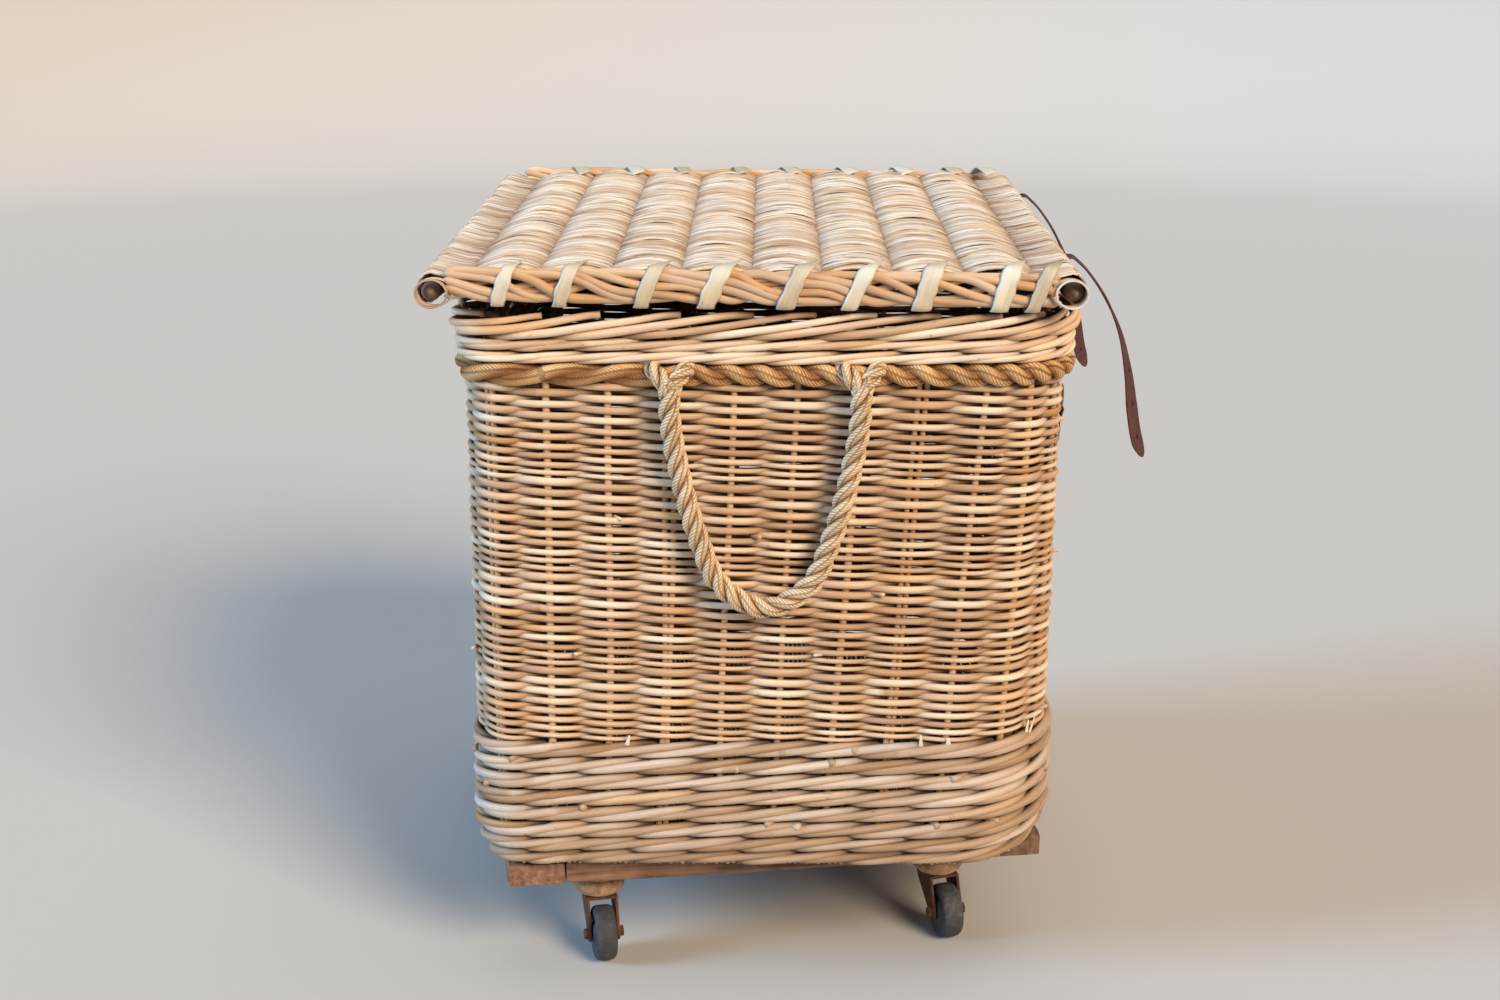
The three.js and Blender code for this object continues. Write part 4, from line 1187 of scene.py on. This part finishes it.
def add_boards():
    axes = dolly_axes()
    rng = np.random.default_rng(5)
    names = ("runner_front", "runner_rear", "cross_board_left", "cross_board_right", "cross_board_middle")
    for number, name in enumerate(names):
        node = f"dolly_{name}"
        (u, v), (low, high) = turned_box(node, axes)
        long_axis = 0 if u[1] - u[0] > v[1] - v[0] else 1
        spans = [u, v]
        first, second = spans[long_axis], spans[1 - long_axis]
        steps = 70
        outline = board_outline(second, low, high)
        middle_a, middle_h = sum(second) / 2, (low + high) / 2
        mesh_points, grain = [], []
        for step in range(steps + 1):
            share = step / steps
            pull = (1.6 * MM, 0.5 * MM, 0.0)[min(step, steps - step, 2)]
            along = first[0] + (first[1] - first[0]) * share
            for across, height in outline:
                rough = noise.noise(Vector((along * 16, across * 40, number * 7 + height * 60)))
                loss = pull + 0.9 * MM * max(0.0, rough)
                a = middle_a + (across - middle_a) * (1 - loss / (second[1] - second[0]) * 2)
                h = middle_h + (height - middle_h) * (1 - loss / (high - low))
                point = axes[long_axis] * along + axes[1 - long_axis] * a
                mesh_points.append((point[0], point[1], h))
                grain.append((along, a, h))
        n = len(outline)
        faces = [
            (i * n + k, i * n + (k + 1) % n, (i + 1) * n + (k + 1) % n, (i + 1) * n + k)
            for i in range(steps) for k in range(n)
        ]
        faces += [tuple(range(n))[::-1], tuple(steps * n + k for k in range(n))]
        mesh = bpy.data.meshes.new(node)
        mesh.from_pydata(mesh_points, [], faces)
        layer = mesh.attributes.new("grain", "FLOAT_VECTOR", "POINT")
        shift = np.array([rng.uniform(0, 5), rng.uniform(0, 5), rng.uniform(0, 5)])
        layer.data.foreach_set("vector", (np.array(grain) + shift).astype(np.float32).reshape(-1))
        bm = bmesh.new()
        bm.from_mesh(mesh)
        bmesh.ops.recalc_face_normals(bm, faces=bm.faces)
        bm.to_mesh(mesh)
        bm.free()
        mesh.shade_smooth()
        mesh.set_sharp_from_angle(angle=math.radians(50))
        place(f"{name}_board", mesh, BOARD, "basket", [node])


def board_outline(span, low, high):
    """A board's section with rounded edges, as (across, height) points."""
    radius = 2.6 * MM
    points = []
    for ca, ch, start in ((span[1] - radius, high - radius, 0), (span[0] + radius, high - radius, 90),
                          (span[0] + radius, low + radius, 180), (span[1] - radius, low + radius, 270)):
        for step in range(5):
            angle = math.radians(start + 22.5 * step)
            points.append((ca + radius * math.cos(angle), ch + radius * math.sin(angle)))
    dense = []
    for a, b in zip(points, points[1:] + points[:1]):
        dense.append(a)
        gap = math.hypot(b[0] - a[0], b[1] - a[1])
        for step in range(1, int(gap / (8 * MM)) + 1):
            share = step / (int(gap / (8 * MM)) + 1)
            dense.append((a[0] + (b[0] - a[0]) * share, a[1] + (b[1] - a[1]) * share))
    return dense


# ----------------------------------------------------------------- casters

def add_caster(where):
    axes = dolly_axes()
    pivot = joint_place(f"caster_{where}_turn")
    axle = joint_place(f"caster_{where}_roll")
    axis = Vector(JOINTS[f"caster_{where}_roll"]["axis"]).normalized()
    across = Vector((axis.x, axis.y, 0)).normalized()
    swivel = Matrix((
        (across.x, -across.y, 0, pivot.x), (across.y, across.x, 0, pivot.y), (0, 0, 1, 0), (0, 0, 0, 1),
    ))
    trail = (swivel.inverted() @ axle).y
    axle_z = axle.z
    rolling = swivel @ Matrix.Translation((0, trail, axle_z)) @ Matrix.Rotation(math.pi / 2, 4, "Y")
    standing = Matrix.Translation((pivot.x, pivot.y, 0))
    body = f"caster_{where}_swivel"

    (u, v), (low, high) = turned_box(f"caster_{where}_plate", axes)
    plate = bmesh.new()
    flat = Matrix((
        (axes[0][0], axes[1][0], 0, 0), (axes[0][1], axes[1][1], 0, 0), (0, 0, 1, 0), (0, 0, 0, 1),
    ))
    outline = [(v[0], low), (v[1], low), (v[1], high), (v[0], high)]
    prism(plate, outline, u[0], u[1], flat, bevel=0.7 * MM)
    for su in (-1, 1):
        for sv in (-1, 1):
            head = flat @ Matrix.Translation((sum(u) / 2 + su * 23 * MM, sum(v) / 2 + sv * 23 * MM, low))
            turned(plate, in_mm((4.2, 0.2), (3.9, -1.2), (2.2, -2.2), (0, -2.5)), head, 20)
    solid(f"caster_{where}_top_plate", plate, RUST, "basket", [f"caster_{where}_plate"])

    low, high = (corner.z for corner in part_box(f"caster_{where}_race"))
    tall = high - low
    dome = bmesh.new()
    profile = ((0, 0), (22.6, 0.0), (23.6, 0.08), (23.8, 0.2), (23.0, 0.3), (21.8, 0.33), (22.4, 0.4),
               (22.0, 0.52), (20.6, 0.68), (18.2, 0.84), (16.8, 0.93), (16.6, 1.0), (0, 1.0))
    turned(dome, [(r * MM, low + h * tall) for r, h in profile], standing, 64)
    solid(f"caster_{where}_dome", dome, DOME, "basket", [f"caster_{where}_race"])

    low, high = (corner.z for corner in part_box(f"caster_{where}_fork"))
    fork = bmesh.new()
    bridge = high - 26.2 * MM
    boss = 9 * MM
    arc = [
        (trail - boss * math.cos(math.radians(a)), axle_z - boss * math.sin(math.radians(a)))
        for a in range(0, 181, 15)
    ]
    outline = [*arc, (13 * MM, bridge - 6 * MM), (18 * MM, bridge), (18 * MM, bridge + 8.9 * MM),
               (-22 * MM, bridge + 8.9 * MM)]
    for side in (-1, 1):
        prism(fork, outline, side * 13.5 * MM, side * 16.5 * MM, swivel, bevel=0.8 * MM)
    top = [(-22 * MM, bridge + 5.6 * MM), (18 * MM, bridge + 5.6 * MM), (18 * MM, bridge + 8.8 * MM),
           (-22 * MM, bridge + 8.8 * MM)]
    prism(fork, top, -16.2 * MM, 16.2 * MM, swivel, bevel=0.8 * MM)
    solid(f"caster_{where}_horn", fork, RUST, body, [f"caster_{where}_fork"])

    crown = bmesh.new()
    profile = ((0, -18), (17, -18), (21.4, -17.2), (23.6, -15.4), (24.1, -13.6), (26, -12.4), (26.6, -10),
               (26, -6.8), (23.8, -3.4), (20, -0.8), (15, 0), (0, 0))
    turned(crown, [(r * MM, high + h * MM) for r, h in profile], standing, 56)
    solid(f"caster_{where}_crown", crown, DOME, body)

    bolt = bmesh.new()
    half = 16.8 * MM
    profile = [(0, -half), (3.5 * MM, -half), (3.5 * MM, half), (0, half)]
    turned(bolt, profile, rolling, 24)
    for side in (-1, 1):
        inner, outer = side * half, side * (half + 3.9 * MM)
        corner = outer - side * 0.7 * MM
        profile = [(0, inner), (6.3 * MM, inner), (6.3 * MM, corner), (5.4 * MM, outer), (0, outer)]
        turned(bolt, profile, rolling, 6)
    solid(f"caster_{where}_bolt", bolt, RUST, body, [f"caster_{where}_axle"], crease=25)

    wheel = bmesh.new()
    tread = axle_z - 0.02 * MM
    profile = [(4.1, -12), (9.5, -12), (11, -11.6), (12.4, -10), (14, -9.2), (18, -9.4), (21, -10.6),
               (24.5, -11), (26.6, -10.2), (28.1, -8), (28.75, -5), (28.86, 0)]
    profile += [(r, -h) for r, h in profile[-2::-1]]
    profile = [(r * MM * tread / (28.86 * MM), h * MM) for r, h in profile]
    turned(wheel, profile + [profile[0]], rolling, 72)
    solid(f"caster_{where}_tyre", wheel, RUBBER, f"caster_{where}_wheel", [f"caster_{where}_wheel"])


# ------------------------------------------------------------------- stage

def add_stage():
    """A pale floor inside a round backdrop of the same colour. The backdrop is only looked at: it neither
    shades the trunk nor throws light on it."""
    paint = Nodes("floor", 0.9)
    paint.shader.inputs["Base Color"].default_value = (0.47, 0.46, 0.45, 1)
    seam, reach, bend, height = 4.0, 7.0, 1.5, 6.0
    curve = [math.radians(90 * step / 12) for step in range(13)]
    wall_line = [(reach - bend + bend * math.sin(a), bend - bend * math.cos(a)) for a in curve]
    for name, profile in (
        ("floor", [(0, 0), (seam, 0)]),
        ("backdrop", [(seam, 0), *wall_line, (reach, height)]),
    ):
        surface = bmesh.new()
        turned(surface, profile, Matrix.Identity(4), 96)
        bmesh.ops.reverse_faces(surface, faces=surface.faces)
        mesh = bpy.data.meshes.new(name)
        surface.to_mesh(mesh)
        surface.free()
        mesh.shade_smooth()
        mesh.materials.append(paint.material)
        stage = bpy.data.objects.new(name, mesh)
        bpy.context.scene.collection.objects.link(stage)
        if name == "backdrop":
            stage.visible_shadow = False
            stage.visible_diffuse = False
            stage.visible_glossy = False


def add_light(name, source, softness, strength, colour):
    """A soft sun that shines from the source point towards the trunk."""
    data = bpy.data.lights.new(name, "SUN")
    data.angle = math.radians(softness)
    data.energy = strength
    data.color = colour
    light = bpy.data.objects.new(name, data)
    light.location = source
    light.rotation_euler = (Vector((0, 0, 0.4)) - Vector(source)).to_track_quat("-Z", "Y").to_euler()
    bpy.context.scene.collection.objects.link(light)


def add_lights():
    scene = bpy.context.scene
    scene.view_settings.view_transform = "Standard"
    scene.view_settings.look = "None"
    world = bpy.data.worlds.new("studio")
    world.use_nodes = True
    world.node_tree.nodes["Background"].inputs["Color"].default_value = (0.88, 0.90, 0.95, 1)
    world.node_tree.nodes["Background"].inputs["Strength"].default_value = 0.17
    scene.world = world
    add_light("window", (-3.2, -0.75, 1.7), 20, 3.6, (0.42, 0.69, 1.0))
    add_light("warm_room", (2.0, -2.6, 2.5), 26, 4.0, (1.0, 0.81, 0.59))
    add_light("overhead", (0.4, 0.3, 3.4), 50, 0.8, (1.0, 0.97, 0.93))


# -------------------------------------------------------------------- make

add_camera()
add_rope_handles()
add_side_weave()
add_stakes()
add_foot_and_wales()
add_cut_ends()
add_rope_band()
add_border()
add_lid_weft()
add_lid_sticks()
add_lid_ends()
add_basket_floor()
add_corner_posts()
add_closing_straps()
add_buckles()
add_hinge_straps()
add_boards()
for where in ("front_left", "rear_left", "front_right", "rear_right"):
    add_caster(where)
add_stage()
add_lights()
